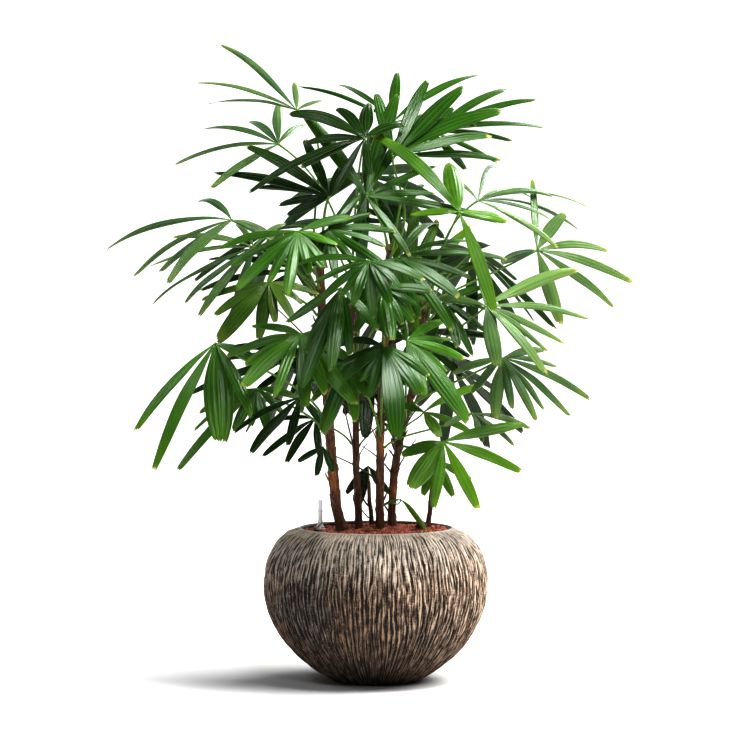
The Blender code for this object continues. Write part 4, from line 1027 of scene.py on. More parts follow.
def fold_counts(widths):
    """How many folds a leaflet has for its width."""
    return np.select([widths < 0.016, widths < 0.023, widths < 0.031], [2, 3, 4], 5)


def leaf_piece(kind, leaves, sizes):
    """The leaflets of one colour, as one mesh that stands for their fronds' solids."""
    own = np.array([shape["kind"] == kind for shape in FRONDS])[leaves["frond"]]
    slender = np.array([SLENDER.get(shape["name"], 1.0) for shape in FRONDS])[leaves["frond"]]
    leaves = {**leaves, "width": leaves["width"] * slender}
    folds = fold_counts(leaves["width"])
    parts, shift = [], 0
    for count in np.unique(folds[own]):
        chosen = {key: numbers[own & (folds == count)] for key, numbers in leaves.items()}
        corners, squares, blade, tint = pleated_blades(chosen, int(count), sizes, 11 * int(count) + len(kind))
        parts.append((corners, squares + shift, blade, tint))
        shift += len(corners)
    corners, squares, blade, tint = (np.concatenate(part) for part in zip(*parts))
    nodes = [shape["name"] + "_frond" for shape in FRONDS if shape["kind"] == kind]
    finish = leaf_finish("leaf_" + kind, getattr(sizes, kind), sizes)
    mesh_piece("leaflets_" + kind, corners, squares, finish, nodes,
               values={"blade": blade, "tint": tint})


def stalk_path(shape, drop, swing, steps):
    """A stalk leaves its cane square to its bark, climbs and arches over to the hub: a short straight
    start and then the cubic curve through leave, climb, arrive and hub."""
    route = np.asarray(CANES[shape["cane"]][0]) * CM
    hub = hub_of(shape)[0]

    def axis_at(height):
        """The point of the cane's middle line at a height."""
        return np.array([np.interp(height, route[:, 2], route[:, i]) for i in range(3)])

    reach = np.linalg.norm(hub[:2] - axis_at(hub[2])[:2])
    height = min(route[-1, 2] - 0.006, hub[2] - max(0.015, shape["climb"] * reach)) - drop * CM / 2
    height = max(height, route[0, 2] + 0.02)
    axis_point = axis_at(height)
    outward = made_long(np.array((*(hub - axis_point)[:2], 0.0)))
    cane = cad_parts[shape["cane"]]
    _, hit, normal, _ = cane.ray_cast(Vector(axis_point + outward * 0.05), Vector(-outward))
    start = np.array(hit + normal * 0.0003)
    leave = start + np.array(normal) * 0.004
    across = np.cross(outward, UP)
    rise = hub[2] - leave[2]
    climb = leave + outward * 0.15 * reach + UP * 0.45 * rise + across * swing
    arrive = hub - made_long(outward + UP * 0.6) * 0.35 * np.linalg.norm(hub - leave)
    t = np.linspace(0, 1, steps)[:, None]
    curve = (leave * (1 - t) ** 3 + climb * 3 * (1 - t) ** 2 * t + arrive * 3 * (1 - t) * t**2 + hub * t**3)
    return np.concatenate([[start], curve]), across


def fitted_stalk(shape, steps):
    """The stalk in the way whose path lies nearest to the corners of the frond's solid."""
    solid = node_corners(shape["name"] + "_frond")
    misses = [furthest(solid, stalk_path(shape, *way, 5)[0][None])[0] for way in STALK_WAYS]
    return stalk_path(shape, *STALK_WAYS[int(np.argmin(misses))], steps)


def stalks_piece(sizes):
    """All leaf stalks: rods that thin towards the hub, with a swollen foot on the cane."""
    paths, radii, beside = [], [], []
    for shape in FRONDS:
        path, across = fitted_stalk(shape, 26)
        path[0] -= (path[1] - path[0]) * 0.6
        share = np.linspace(0, 1, len(path))
        foot = 0.55 * np.exp(-share / 0.05)
        paths.append(path)
        radii.append(shape["stalk"] * (1.0 + foot - 0.22 * share + 0.28 * np.exp(-(1 - share) / 0.03)))
        beside.append(across)
    corners, squares, caps = tubes(np.array(paths), np.array(radii), 8, np.array(beside))
    finish = stalk_finish("leaf_stalk", sizes.stalk)
    mesh_piece("leaf_stalks", corners, squares, finish, triangles=caps)


def old_stalks_piece(sizes):
    """Old stalks whose fans have dropped: thin rods from inside a cane along start + outward reach t
    + up rise t^0.7 + sideways bow sin(pi t), which thin from root to end."""
    rng = np.random.default_rng(83)
    count = sizes.old_stalks
    height = rng.uniform(0.34, 0.60, count)
    routes = [np.asarray(CANES[name][0]) * CM for name in sorted(CANES) if name.startswith("cane")]
    axes = np.array([[np.interp(height, route[:, 2], route[:, i]) for i in range(3)] for route in routes])
    start = axes[rng.integers(0, len(routes), count), :, np.arange(count)]
    angle = rng.uniform(-1.15 * np.pi, 0.15 * np.pi, count)
    outward = level_at(angle) * (1, 0.6, 1)
    across = made_long(np.cross(outward, UP))
    reach, rise = rng.uniform(0.04, 0.13, (2, count, 1, 1))
    bow = rng.uniform(-0.012, 0.012, (count, 1, 1))
    t = np.linspace(0, 1, 12)[None, :, None]
    paths = (start[:, None] + outward[:, None] * reach * t + UP * rise * t**0.7
             + across[:, None] * bow * np.sin(np.pi * t))
    radii = rng.uniform(0.0013, 0.0020, (count, 1)) * (1 - 0.5 * t[:, :, 0])
    corners, squares, caps = tubes(paths, radii, 6, across)
    finish = stalk_finish("old_stalk", sizes.old)
    mesh_piece("old_stalks", corners, squares, finish, triangles=caps)


# The canes.


def cane_radius(name, heights):
    """Radius of a cane: it tapers evenly to CANE_TIP_SHARE at its tip, and its lowest 24 mm flare."""
    route, radius, flare = CANES[name]
    low, high = BED_TOP, route[-1][2] * CM
    taper = 1 - (1 - CANE_TIP_SHARE) * (heights - low) / (high - low)
    spread = 1 + (flare - 1) * np.clip(1 - (heights - low) / 0.024, 0, 1) ** 1.3
    return radius * CM * taper * spread


def cane_core(name, steps, sides, spacing, seed):
    """A cane's solid middle: rings of r (1 + scars + lumps) round its line, where a scar is a narrow
    swelling every spacing, and the lumps are a smooth random field."""
    route = CANES[name][0]
    heights = np.linspace(BED_TOP - 0.004, route[-1][2] * CM + 0.004, steps)
    middle = along_route(route, heights)
    angles = np.arange(sides) * 2 * np.pi / sides
    turn, up = np.meshgrid(angles, heights)
    scar = np.exp(-((((up - BED_TOP) / spacing + 0.5) % 1 - 0.5) / 0.06) ** 2)
    lumps = ripple(np.cos(turn) * 0.01, up * 0.45 + np.sin(turn) * 0.01, seed, 0.010)
    radius = cane_radius(name, up) * (0.86 + 0.10 * scar + 0.045 * lumps)
    radius *= np.where(up > heights[-4], 0.55, 1.0)
    body = middle[:, None] + level_at(turn) * radius[..., None]
    corners = np.concatenate([body.reshape(-1, 3), middle[[0, -1]]])
    return corners, grid_faces(steps, sides, ring=True), pole_faces(steps, sides)


def peel_share(name, corners):
    """1 inside the stretch where a cane has lost its sheath, on the side that faces the front."""
    if name not in PEELED:
        return np.zeros(len(corners))
    low, high, turn = PEELED[name]
    up = corners[:, 2]
    middle = along_route(CANES[name][0], np.clip(up, BED_TOP, None))
    angle = np.arctan2(corners[:, 1] - middle[:, 1], corners[:, 0] - middle[:, 0])
    facing = smooth_step(0.1, 0.7, np.cos(angle - turn))
    ragged = 0.004 * np.sin(angle * 7) + 0.002 * np.sin(angle * 17 + 2)
    inside = smooth_step(low - 0.003, low + 0.003, up + ragged)
    inside = inside * (1 - smooth_step(high - 0.003, high + 0.003, up + ragged))
    return facing * inside


def sheaths(name, spacing, seed):
    """Old leaf bases wrapped round a cane: each is a thin closed sleeve that starts at a scar. At
    turn a and share t its height is low + t * length(a), where length(a) is longest on one side and
    ragged, and its radius grows from inside the cane's to just outside it, more where it frays."""
    rng = np.random.default_rng(seed)
    route = CANES[name][0]
    low = np.arange(BED_TOP + 0.004, route[-1][2] * CM - 0.02, spacing * 0.62)
    count, rows, columns = len(low), 9, 40
    angles = np.arange(columns) * 2 * np.pi / columns
    lean = rng.uniform(0, 2 * np.pi, (count, 1))
    length = rng.uniform(0.030, 0.056, (count, 1)) * (0.74 + 0.26 * np.cos(angles - lean))
    rag = np.abs(rng.normal(0, 1, (count, columns)))
    length *= 1 - 0.13 * (rag + np.roll(rag, 1, axis=1)) / 2
    t = np.linspace(0, 1, rows)
    up = low[:, None, None] + t[None, :, None] * length[:, None]
    up = np.minimum(up, route[-1][2] * CM + 0.012)
    turn = angles + rng.uniform(-0.4, 0.4, (count, 1, 1)) * t[None, :, None]
    base = cane_radius(name, np.minimum(up, route[-1][2] * CM))
    fray = 0.16 * t[None, :, None] ** 3 * (0.4 + rag[:, None]) * rng.uniform(0.1, 1.1, (count, 1, 1))
    creases = 0.045 * np.sin(turn * rng.integers(5, 9, (count, 1, 1)) + rng.uniform(0, 6, (count, 1, 1)))
    radius = base * (0.86 + 0.15 * np.sqrt(t)[None, :, None] + fray + creases)
    middle = along_route(route, np.minimum(up, route[-1][2] * CM).ravel()).reshape(*up.shape, 3)
    middle[..., 2] = up
    ring = level_at(turn)
    outer = middle + ring * radius[..., None]
    inner = middle + ring * (radius - 0.0007)[..., None]
    size = rows * columns
    wall = grid_faces(rows, columns, ring=True)
    first, last = np.arange(columns), (rows - 1) * columns + np.arange(columns)
    foot = np.stack([first, first + size, np.roll(first, -1) + size, np.roll(first, -1)], axis=1)
    top = np.stack([last, np.roll(last, -1), np.roll(last, -1) + size, last + size], axis=1)
    faces = repeated(np.concatenate([wall, wall[:, ::-1] + size, foot, top]), count, 2 * size)
    return np.stack([outer, inner], axis=1).reshape(-1, 3), faces


def fibre_rods(name, sizes, seed):
    """Loose fibres: each winds a little way round its cane as it climbs, and stands off it by a
    small wave and, at its upper end, by a curl."""
    rng = np.random.default_rng(seed)
    route = CANES[name][0]
    low, high = BED_TOP + 0.002, route[-1][2] * CM
    count = int(sizes.fibres * (high - low))
    steps = 9
    t = np.linspace(0, 1, steps)
    start = rng.uniform(low, high - 0.02, (count, 1))
    up = start + rng.uniform(0.012, 0.050, (count, 1)) * t
    up = np.minimum(up, high)
    turn = rng.uniform(0, 2 * np.pi, (count, 1)) + rng.uniform(-1.3, 1.3, (count, 1)) * t
    curl = rng.uniform(0, 1, (count, 1)) ** 9 * 0.008 * t**3
    off = 1.02 + 0.07 * np.sin(t * rng.uniform(2, 6, (count, 1)) + rng.uniform(0, 6, (count, 1)))
    radius = cane_radius(name, up) * off + curl
    middle = along_route(route, up.ravel()).reshape(count, steps, 3)
    ring = level_at(turn)
    thick = sizes.fibre * rng.uniform(0.6, 1.5, (count, 1)) * (1 - 0.5 * t**2)
    rods = tubes(middle + ring * radius[..., None], thick, 4, ring[:, 0])
    return (*rods, np.repeat(rng.uniform(0, 1, count) ** 2, steps * 4 + 2))


def stub_rods(name, seed):
    """Short broken leaf stalks that stand up and out from a cane: base + outward reach t + up (a t +
    b t^1.7)."""
    rng = np.random.default_rng(seed)
    route = CANES[name][0]
    count = max(2, int((route[-1][2] * CM - BED_TOP) / 0.034))
    start = np.sort(rng.uniform(BED_TOP + 0.012, route[-1][2] * CM - 0.015, count))
    turn = rng.uniform(0, 2 * np.pi, count)
    out = level_at(turn)
    t = np.linspace(0, 1, 7)[None, :, None]
    reach = rng.uniform(0.006, 0.016, (count, 1, 1))
    base = along_route(route, start) + out * cane_radius(name, start)[:, None] * 0.8
    rise = 0.006 * t + rng.uniform(0.006, 0.02, (count, 1, 1)) * t**1.7
    path = base[:, None] + out[:, None] * reach * t + UP * rise
    thick = rng.uniform(0.0013, 0.0026, (count, 1)) * (1 - 0.35 * t[..., 0])
    thick = thick * np.where(t[..., 0] > 0.99, 0.5, 1)
    return tubes(path, thick, 7, np.cross(out, UP))


def joined(parts):
    """Several shapes of corners, squares and perhaps triangles as one."""
    corners, squares, caps, shift = [], [], [], 0
    for part in parts:
        corners.append(part[0])
        squares.append(part[1] + shift)
        caps.append((part[2] if len(part) > 2 else np.zeros((0, 3), int)) + shift)
        shift += len(part[0])
    return np.concatenate(corners), np.concatenate(squares), np.concatenate(caps)


def cane_pieces(sizes):
    """Every cane with its sheaths and stubs, and one piece of loose fibres for each. Over a peeled
    stretch the sheaths are drawn into the cane."""
    fibres = fibre_finish(sizes)
    for index, name in enumerate(CANES):
        core = cane_core(name, 150, 26, sizes.sheath, 40 + index)
        body = joined([core, sheaths(name, sizes.sheath, 60 + index), stub_rods(name, 80 + index)])
        bare = peel_share(name, body[0])
        keep = len(core[0])
        if bare.max() > 0:
            pull = (bare[keep:] > 0.25)[:, None]
            middle = along_route(CANES[name][0], np.clip(body[0][keep:, 2], BED_TOP, None))
            body[0][keep:] = np.where(pull, middle + (body[0][keep:] - middle) * 0.80, body[0][keep:])
        mesh_piece(name + "_bark", body[0], body[1], bark_finish(name + "_bark", sizes), [name],
                   triangles=body[2], values={"bare": bare})
        corners, squares, caps, tint = fibre_rods(name, sizes, 20 + index)
        mesh_piece(name + "_fibres", corners, squares, fibres, triangles=caps, values={"tint": tint})


# The planter and what it holds.


def planter_radius(height):
    """Outer radius of the planter at a height: radius * (1 - s**e)**(1/e), where s is the distance
    from the widest place over the semi-axis, with one exponent under it and another above."""
    height = np.asarray(height, float)
    low_axis = WIDEST_AT / (1 - (FOOT / WIDEST) ** LOW_POWER) ** (1 / LOW_POWER)
    below = np.clip((WIDEST_AT - height) / low_axis, 0, 1)
    above = np.clip((height - WIDEST_AT) / HIGH_AXIS, 0, 1)
    low = WIDEST * (1 - below**LOW_POWER) ** (1 / LOW_POWER)
    high = WIDEST * (1 - above**HIGH_POWER) ** (1 / HIGH_POWER)
    return np.where(height < WIDEST_AT, low, high)


def ridge_height(turn, up, count):
    """The ridged relief from 0 to 1 at turn and height: the cosine of a phase that runs count times
    round the planter and wanders with smooth random waves. Around chosen points the phase also winds
    once, so that a ridge starts or ends there; each has a partner above that winds back."""
    rng = np.random.default_rng(5)
    phase = count * turn
    for _ in range(26):
        across, along = rng.integers(2, 17), rng.uniform(-3.2, 3.2)
        size = 1.7 / (1 + 0.30 * across + 1.3 * abs(along))
        phase = phase + size * np.sin(across * turn + along * up * 2 * np.pi / 0.27 + rng.uniform(0, 6.28))
    for _ in range(46):
        at, low = rng.uniform(0, 2 * np.pi), rng.uniform(0.01, 0.20)
        high = low + rng.uniform(0.03, 0.09)
        side = rng.choice((-1, 1))
        beside = ((turn - at + np.pi) % (2 * np.pi) - np.pi) * RIDGED_RADIUS
        near = np.exp(-((beside / 0.05) ** 2))
        wind = np.angle((beside + 1j * (up - low)) * (beside - 1j * (up - high)))
        phase = phase + side * wind * near
    wander = (phase - count * turn) / count
    finer = count * 1.75
    second = round(finer) * turn + 1.2 * (phase - count * turn) + 2.2 * np.sin(9 * turn + up * 31 + 1)
    second = second + 1.6 * np.sin(23 * turn - up * 52)
    wave = 0.5 + 0.5 * np.cos(phase)
    uneven = 0.86 + 0.14 * ripple(turn * RIDGED_RADIUS * 1.6, up, 9, 0.030)
    mixed = 0.60 * wave + 0.40 * (0.5 + 0.5 * np.cos(second))
    return np.clip(mixed * uneven * 1.12, 0, 1), wander


def planter_profile():
    """The planter's outline as (radius, height) rows from its foot over its wall and lip to its inner
    floor, and how many of them are foot, wall and lip."""
    bend = np.linspace(0, 1, WALL_ROWS)
    up = 0.0006 + (LIP_LOW - 0.0006) * (bend * 0.7 + 0.3 * smooth_step(0, 1, bend))
    wall = np.stack([np.minimum(planter_radius(up), WIDEST), up], axis=1)
    shoulder = smooth_step(0.262, LIP_LOW, up)
    wall[:, 0] = wall[:, 0] * (1 - shoulder) + (0.1395 + (LIP_LOW - up) * 1.6) * shoulder
    lip = [wall[-1], (0.1365, LIP_TOP - 0.0003), (MOUTH, LIP_TOP), (MOUTH, 0.2615)]
    lip = rounded(lip, 0.0016)[1:]
    inside = [(0.1400, 0.2560), (0.170, 0.220), (0.185, WIDEST_AT), (0.170, 0.090), (0.110, 0.034),
              (0.05, FLOOR_TOP)]
    foot = [(0.030, 0.0), (0.070, 0.0), (0.0765, 0.0)]
    return np.concatenate([foot, wall, lip, inside]), len(foot), len(wall), len(lip)


def planter_piece(sizes):
    """The planter: a grid of (radius, height) rows turned round the axis, whose outer rows stand in
    by relief * (1 - ridge) along the wall's own normal; a smooth lip, a wall inside and a flat foot."""
    profile, feet, walls, lips = planter_profile()
    rows, columns = len(profile), WALL_COLUMNS
    slope = np.gradient(profile, axis=0)
    outward = made_long(np.stack([slope[:, 1], -slope[:, 0]], axis=1))
    turn, up = np.meshgrid(np.arange(columns) * 2 * np.pi / columns, profile[:, 1])
    ridge, wander = ridge_height(turn, up, sizes.ridges)
    wall_up = profile[feet:feet + walls, 1]
    on_wall = np.zeros((rows, 1))
    on_wall[feet:feet + walls, 0] = smooth_step(-0.001, 0.004, wall_up) * (
        1 - smooth_step(LIP_LOW - 0.004, LIP_TOP, wall_up) * 0.6)
    sink = sizes.relief * (1 - ridge) * on_wall
    swell = 0.0006 * ripple(turn * 0.2, up, 31, 0.09) * on_wall - 0.0004 * on_wall
    r = profile[:, :1] + outward[:, :1] * (swell - sink)
    z = profile[:, 1:] + outward[:, 1:] * (swell - sink)
    body = np.stack([r * np.cos(turn), r * np.sin(turn), np.maximum(z, 0)], axis=-1)
    corners = np.concatenate([body.reshape(-1, 3), [(0, 0, 0), (0, 0, FLOOR_TOP)]])

    worn_top = smooth_step(0.258, 0.270, profile[:, 1])[:, None]
    ridges = ridge * (1 - worn_top) + worn_top * (0.6 + 0.4 * ridge)
    on_lip = np.zeros(rows)
    on_lip[feet + walls:feet + walls + lips] = 1
    path = np.concatenate([[0], np.cumsum(np.linalg.norm(np.diff(profile, axis=0), axis=1))])
    streak = np.stack([0.2 * np.cos(turn + wander), 0.2 * np.sin(turn + wander),
                       np.repeat(path[:, None], columns, axis=1)], axis=-1)
    values = {"ridge": np.append(ridges.ravel(), (0, 0)),
              "lip": np.append(np.repeat(on_lip, columns), (0, 0)),
              "streak": np.concatenate([streak.reshape(-1, 3), [(0, 0, 0), (0, 0, path[-1])]])}
    mesh_piece("planter_shell", corners, grid_faces(rows, columns, ring=True), shell_finish(sizes),
               ["planter"], pole_faces(rows, columns), values)


def liner_piece(sizes):
    """The inner pot: a turned thin wall with a rolled rim and a stepped foot."""
    profile = [(0, FLOOR_TOP), (0.104, FLOOR_TOP), (0.1052, 0.036), (0.1296, 0.245), (0.1302, 0.252),
               (0.1318, 0.2535), (0.1324, 0.2695), (0.1296, 0.2695), (0.1292, 0.2535), (0.1270, 0.2450),
               (0.1025, 0.036), (0.101, 0.0335), (0, 0.0335)]
    finish = moulded_finish("liner_plastic", sizes.liner, 0.42)
    turned_piece("liner_shell", rounded(profile, 0.0012), 128, finish, ["liner"])


def granule_pieces(sizes):
    """The clay granules: ellipsoids of 42 points laid out on a sunflower spiral in two layers, each
    turned at random and dented by a smooth field; under them the bed is one lumpy body."""
    rng = np.random.default_rng(17)
    count = sizes.pebbles
    share = (np.arange(count) * GOLDEN_SHARE) % 1
    order = np.arange(count) + 0.5
    reach = 0.1272 * np.sqrt(order / count)
    turn = order * GOLDEN_TURN + rng.normal(0, 0.012, count)
    size = sizes.pebble * rng.uniform(0.62, 1.18, count)
    level = np.where(share < 0.62, 0.2652, 0.2625) + rng.uniform(-0.0010, 0.0013, count)
    level += 0.0012 * ripple(reach * np.cos(turn), reach * np.sin(turn), 3, 0.05)
    place = np.stack([reach * np.cos(turn), reach * np.sin(turn), level], axis=1)

    rows, columns = 5, 8
    lat = np.linspace(-np.pi / 2, np.pi / 2, rows + 2)[1:-1]
    lon = np.arange(columns) * 2 * np.pi / columns
    ball = np.stack([np.outer(np.cos(lat), np.cos(lon)), np.outer(np.cos(lat), np.sin(lon)),
                     np.repeat(np.sin(lat)[:, None], columns, axis=1)], axis=-1).reshape(-1, 3)
    ball = np.concatenate([ball, [-UP, UP]])
    points = len(ball)
    stretch = rng.uniform(0.72, 1.2, (count, 1, 3))
    dent = 1 + 0.13 * np.sin(ball @ rng.normal(0, 2.2, (3, count)) + rng.uniform(0, 6, count)).T
    shape = ball[None] * stretch * dent[..., None]
    axis = made_long(rng.normal(0, 1, (count, 3)))[:, None].repeat(points, 1)
    shape = turned_about(shape, axis, np.repeat(rng.uniform(0, 3.1, (count, 1)), points, 1))
    corners = place[:, None] + shape * size[:, None, None]
    from_axis = np.maximum(np.linalg.norm(corners[..., :2], axis=-1), 1e-6)
    corners[..., :2] *= np.minimum(1, 0.1288 / from_axis)[..., None]
    squares = repeated(grid_faces(rows, columns, ring=True), count, points)
    caps = repeated(pole_faces(rows, columns), count, points)
    finish = clay_finish("clay_granules", sizes.clay)
    mesh_piece("granules", corners, squares, finish, triangles=caps,
               values={"tint": np.repeat(rng.uniform(0, 1, count), points)})

    edge = np.linspace(0, 1, 26)[1:]
    top = [(0.1275 * s, 0.2618 + 0.0006 * math.sin(s * 40)) for s in edge[::-1]]
    body = [(0, 0.0342), (0.1005, 0.0342), (0.1262, 0.2450), *top, (0, 0.2618)]
    corners, squares, caps = turned_profile(body, 96)
    lumps = 0.0007 * ripple(corners[:, 0], corners[:, 1], 8, 0.012)
    corners[:, 2] += np.where(corners[:, 2] > 0.26, lumps, 0)
    mesh_piece("granule_bed_body", corners, squares, finish, ["granule_bed"], caps,
               {"tint": np.full(len(corners), 0.15)})


def gauge_pieces(sizes):
    """The water gauge: a dark flange, a white flared foot, a clear tube, and the mark in it. Each is
    a profile of (radius, height over the bed) that is turned round the gauge's own axis."""
    profiles = {
        "gauge_flange": ([(0, 0), (0.0122, 0), (0.0122, 0.0022), (0.0098, 0.0030), (0, 0.0030)], 0.0006),
        "gauge_foot": ([(0, 0.0031), (0.0094, 0.0031), (0.0082, 0.0060), (0.0050, 0.0112),
                        (0.0047, 0.0160), (0.0052, 0.0164), (0.0052, 0.0180), (0, 0.0180)], 0.0009),
        "gauge_tube": ([(0, 0.0181), (0.0040, 0.0181), (0.0040, 0.0530), (0.0034, 0.0552),
                        (0.0016, 0.0560), (0, 0.0560)], 0.0008),
        "gauge_mark": ([(0, 0.0340), (0.0046, 0.0340), (0.0046, 0.0365), (0, 0.0365)], 0.0006),
    }
    finishes = {
        "gauge_flange": moulded_finish("gauge_flange", (0.035, 0.04, 0.045), 0.4),
        "gauge_foot": moulded_finish("gauge_white", (0.78, 0.80, 0.80), 0.3, 0.3),
        "gauge_tube": moulded_finish("gauge_clear", sizes.gauge, 0.14, 0.5, 0.35),
        "gauge_mark": moulded_finish("gauge_mark", (0.45, 0.47, 0.48), 0.35, 0.2),
    }
    for name, (points, radius) in profiles.items():
        profile = rounded(np.array(points) + (0, BED_TOP + 0.0003), radius)
        nodes = ["water_gauge"] if name == "gauge_tube" else ()
        turned_piece(name, profile, 40, finishes[name], nodes, GAUGE_AT)


def litter_piece(canes):
    """What lies on the granules: a knot of old root, a ball with a smooth random field on it, and a
    few dark twigs, as rods bent by (a random vector) sin(pi t f)."""
    rng = np.random.default_rng(23)
    starts = np.array([(-0.110, -0.030, 0.2700), (-0.104, -0.012, 0.2706), (0.072, -0.020, 0.2700),
                       (0.080, -0.012, 0.2704), (0.060, -0.045, 0.2702), (-0.020, -0.060, 0.2700),
                       (-0.060, 0.060, 0.2702), (0.040, 0.090, 0.2700)])
    ends = np.array([(-0.090, -0.022, 0.2830), (-0.088, -0.034, 0.2740), (0.096, -0.012, 0.2770),
                     (0.088, 0.006, 0.2800), (0.086, -0.034, 0.2710), (0.004, -0.066, 0.2712),
                     (-0.036, 0.068, 0.2740), (0.066, 0.084, 0.2730)])
    count = len(starts)
    t = np.linspace(0, 1, 12)[None, :, None]
    sway = rng.normal(0, 0.0026, (count, 1, 3)) * np.sin(np.pi * t * rng.uniform(1, 2.4, (count, 1, 1)))
    paths = starts[:, None] * (1 - t) + ends[:, None] * t + sway * (1, 1, 0.3)
    thick = rng.uniform(0.0008, 0.0015, (count, 1)) * (1 - 0.5 * t[..., 0])
    twigs = tubes(paths, thick, 7, np.repeat(UP[None] + (0.1, 0.3, 0), count, 0))

    rows, columns = 16, 24
    lat, lon = np.meshgrid(np.linspace(-np.pi / 2, np.pi / 2, rows + 2)[1:-1],
                           np.arange(columns) * 2 * np.pi / columns, indexing="ij")
    ball = np.stack([np.cos(lat) * np.cos(lon), np.cos(lat) * np.sin(lon), np.sin(lat)], axis=-1)
    lumpy = 1 + 0.14 * ripple(ball[..., 0] + ball[..., 2], ball[..., 1] - ball[..., 2], 4, 1.1)
    knot = (0.081, -0.006, 0.2735) + ball * lumpy[..., None] * (0.0098, 0.0078, 0.0088)
    corners = np.concatenate([knot.reshape(-1, 3), [(0.081, -0.006, 0.2650), (0.081, -0.006, 0.2822)]])
    knot = (corners, grid_faces(rows, columns, ring=True), pole_faces(rows, columns))
    corners, squares, caps = joined([knot, twigs])
    mesh_piece("root_knot_and_twigs", corners, squares, bark_finish("old_root", canes),
               triangles=caps, values={"bare": np.zeros(len(corners))})


# The stage.


def on_stage(name, data, aim, place=(0, 0, 0)):
    """A lamp or camera at a place, turned so that it looks along a direction."""
    made = bpy.data.objects.new(name, data)
    made.location = place
    made.rotation_euler = Vector(aim).to_track_quat("-Z", "Y").to_euler()
    bpy.context.scene.collection.objects.link(made)
    return made


def set_floor(colour):
    """A white floor with faint specks that reaches past the camera's view."""
    n = Nodes(bpy.data.materials.new("stage_floor"))
    n.set(Base_Color=n.mix(n.noise(60, 3), np.array(colour) * 0.995, colour), Roughness=0.9)
    n.set(Specular_IOR_Level=0.0)
    half = FLOOR_HALF
    mesh = bpy.data.meshes.new("floor")
    mesh.from_pydata([(-half, -half, 0), (half, -half, 0), (half, half, 0), (-half, half, 0)], [],
                     [(0, 1, 2, 3)])
    mesh.materials.append(n.owner)
    floor = bpy.data.objects.new("floor", mesh)
    bpy.context.scene.collection.objects.link(floor)


def set_surroundings(sky, shade):
    """White surroundings: bright low down at the back, dim elsewhere, and always white in view."""
    world = bpy.data.worlds.new("surroundings")
    bpy.context.scene.world = world
    n = Nodes(world, "Background")
    _, away, up = n.parts(n.add("TexCoord").outputs["Generated"])
    behind = n.times(n.spread(away, 0.0, 0.80), n.spread(up, 0.20, 0.65, 1, 0))
    lit = n.math("MULTIPLY_ADD", behind, sky - shade, shade)
    shown = n.times(n.add("LightPath").outputs["Is Camera Ray"], sky)
    n.set(Color=(1, 1, 1), Strength=n.math("MAXIMUM", shown, lit))


def set_lamps(key, fill):
    """A wide sun without gloss from behind on the right that whitens the floor, and four square lamps
    for the gloss: each has a place, a point it looks at, a size, a share of the power and a tint."""
    sun = bpy.data.lights.new("sun", "SUN")
    sun.energy = key
    sun.angle = math.radians(SUN_SPREAD)
    sun.color = (1.0, 0.99, 0.97)
    on_stage("sun", sun, (-0.50, -0.09, -0.93)).visible_glossy = False
    boxes = {
        "top box": ((0.65, -0.9, 3.0), (0.05, 0, 0.6), 0.7, 1.25, (0.97, 0.99, 1.0)),
        "left box": ((-2.0, -1.0, 3.0), (0, 0, 0.8), 0.7, 0.26, (0.97, 0.99, 1.0)),
        "front box": ((0.5, -3.1, 2.5), (0, 0, 0.6), 0.7, 0.35, (0.97, 0.99, 1.0)),
        "rim box": ((1.6, 2.6, 2.6), (0, 0, 0.7), 1.3, 0.8, (0.96, 0.99, 1.0)),
    }
    for name, (place, point, size, share, tint) in boxes.items():
        lamp = bpy.data.lights.new(name, "AREA")
        lamp.size, lamp.energy, lamp.color = size, fill * share, tint
        on_stage(name, lamp, Vector(point) - Vector(place), place)


def set_camera(lens):
    """The camera that sees the palm from its front, and the view's strong contrast."""
    data = bpy.data.cameras.new("camera")
    data.lens = lens
    data.sensor_width = 36
    data.clip_end = 60
    bpy.context.scene.camera = on_stage("camera", data, (0, 5.0, -0.1665), (-0.0186, -5.0, 0.725))
    view = bpy.context.scene.view_settings
    view.view_transform = "Standard"
    view.exposure, view.gamma = 0.47, 0.72


# The add-on's buttons.


class PALM_OT_leaflets(bpy.types.Operator):
    """Lays a fine, pleated leaflet over each blade of the frame's fronds, and more in wide gaps"""

    bl_idname = "palm.leaflets"
    bl_label = "Leaflets"

    def execute(self, context):
        sizes = context.scene.lady_palm.leaves
        leaves, misses = fitted_leaflets(gathered_leaflets())
        shortened, narrowed = WAYS[leaves["way"], 2:].T
        leaves["length"] = leaves["length"] / shortened
        leaves["width"] = leaves["width"] / narrowed
        left_out = misses >= FOUND_WITHIN
        for key, numbers in gathered_leaflets().items():
            leaves[key][left_out] = numbers[left_out]
        leaves = with_fillers(leaves)
        for kind in sorted({shape["kind"] for shape in FRONDS}):
            leaf_piece(kind, leaves, sizes)
        return {"FINISHED"}


class PALM_OT_stalks(bpy.types.Operator):
    """Makes the thin stalks that carry the fans, and old bare ones on the canes"""

    bl_idname = "palm.stalks"
    bl_label = "Leaf stalks"

    def execute(self, context):
        sizes = context.scene.lady_palm.leaves
        stalks_piece(sizes)
        old_stalks_piece(sizes)
        return {"FINISHED"}


class PALM_OT_canes(bpy.types.Operator):
    """Makes the canes with their sheaths, broken stalks and loose fibres"""

    bl_idname = "palm.canes"
    bl_label = "Canes"

    def execute(self, context):
        cane_pieces(context.scene.lady_palm.canes)
        return {"FINISHED"}


class PALM_OT_planter(bpy.types.Operator):
    """Makes the ridged globe planter"""

    bl_idname = "palm.planter"
    bl_label = "Planter"

    def execute(self, context):
        planter_piece(context.scene.lady_palm.planter)
        return {"FINISHED"}


class PALM_OT_liner(bpy.types.Operator):
    """Makes the inner pot"""

    bl_idname = "palm.liner"
    bl_label = "Liner"

    def execute(self, context):
        liner_piece(context.scene.lady_palm.fill)
        return {"FINISHED"}


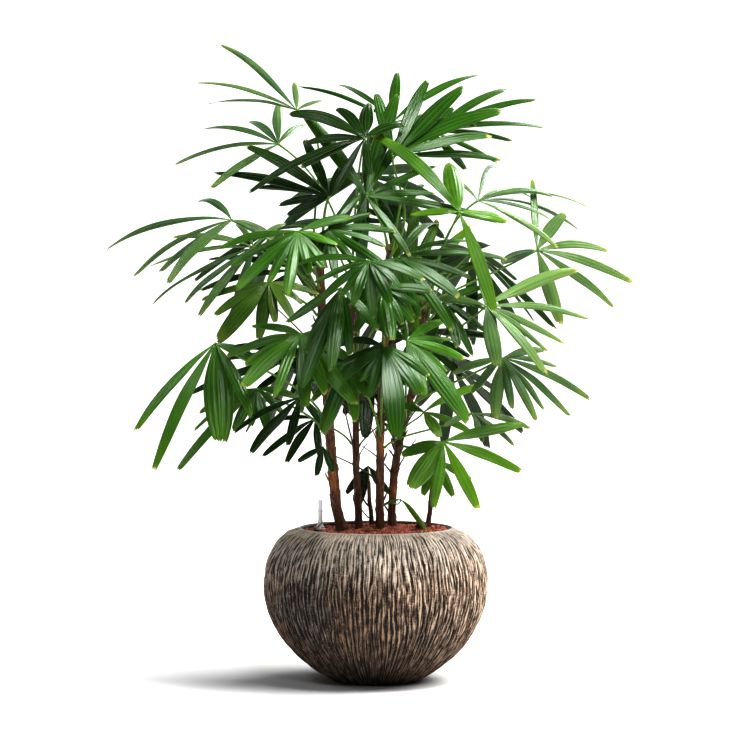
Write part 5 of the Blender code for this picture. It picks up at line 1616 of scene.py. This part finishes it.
class PALM_OT_granules(bpy.types.Operator):
    """Fills the inner pot with clay granules"""

    bl_idname = "palm.granules"
    bl_label = "Clay granules"

    def execute(self, context):
        granule_pieces(context.scene.lady_palm.fill)
        return {"FINISHED"}


class PALM_OT_gauge(bpy.types.Operator):
    """Stands the water gauge on the granules"""

    bl_idname = "palm.gauge"
    bl_label = "Water gauge"

    def execute(self, context):
        gauge_pieces(context.scene.lady_palm.fill)
        return {"FINISHED"}


class PALM_OT_litter(bpy.types.Operator):
    """Lays an old root knot and twigs on the granules"""

    bl_idname = "palm.litter"
    bl_label = "Root knot and twigs"

    def execute(self, context):
        litter_piece(context.scene.lady_palm.canes)
        return {"FINISHED"}


class PALM_OT_stage(bpy.types.Operator):
    """Sets the floor, the lamps and the camera"""

    bl_idname = "palm.stage"
    bl_label = "Stage"

    def execute(self, context):
        sizes = context.scene.lady_palm.stage
        set_floor(sizes.floor)
        set_surroundings(sizes.sky, sizes.shade)
        set_lamps(sizes.key, sizes.fill)
        set_camera(sizes.lens)
        return {"FINISHED"}


OPERATORS = (PALM_OT_leaflets, PALM_OT_stalks, PALM_OT_canes, PALM_OT_planter, PALM_OT_liner,
             PALM_OT_granules, PALM_OT_gauge, PALM_OT_litter, PALM_OT_stage)


class PALM_PT_parts(bpy.types.Panel):
    """The palm's parts, one button each"""

    bl_label = "Lady Palm"
    bl_idname = "PALM_PT_parts"
    bl_space_type = "VIEW_3D"
    bl_region_type = "UI"
    bl_category = "Lady Palm"

    def draw(self, context):
        for kind in OPERATORS:
            self.layout.operator(kind.bl_idname)
        palm = context.scene.lady_palm
        for group in (palm.leaves, palm.canes, palm.planter, palm.fill, palm.stage):
            box = self.layout.box()
            for key in group.bl_rna.properties.keys():
                if key not in {"rna_type", "name"}:
                    box.prop(group, key)


CLASSES = (PlanterSizes, FillSizes, CaneSizes, LeafSizes, StageSizes, LadyPalm, *OPERATORS, PALM_PT_parts)


def register():
    """Makes the sizes, the operators and the panel known."""
    for kind in CLASSES:
        bpy.utils.register_class(kind)
    bpy.types.Scene.lady_palm = PointerProperty(type=LadyPalm)


def unregister():
    """Takes them back."""
    del bpy.types.Scene.lady_palm
    for kind in reversed(CLASSES):
        bpy.utils.unregister_class(kind)


def main():
    """Makes every piece and the stage."""
    register()
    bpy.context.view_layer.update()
    for kind in OPERATORS:
        group, name = kind.bl_idname.split(".")
        getattr(getattr(bpy.ops, group), name)()


if __name__ == "__main__":
    main()
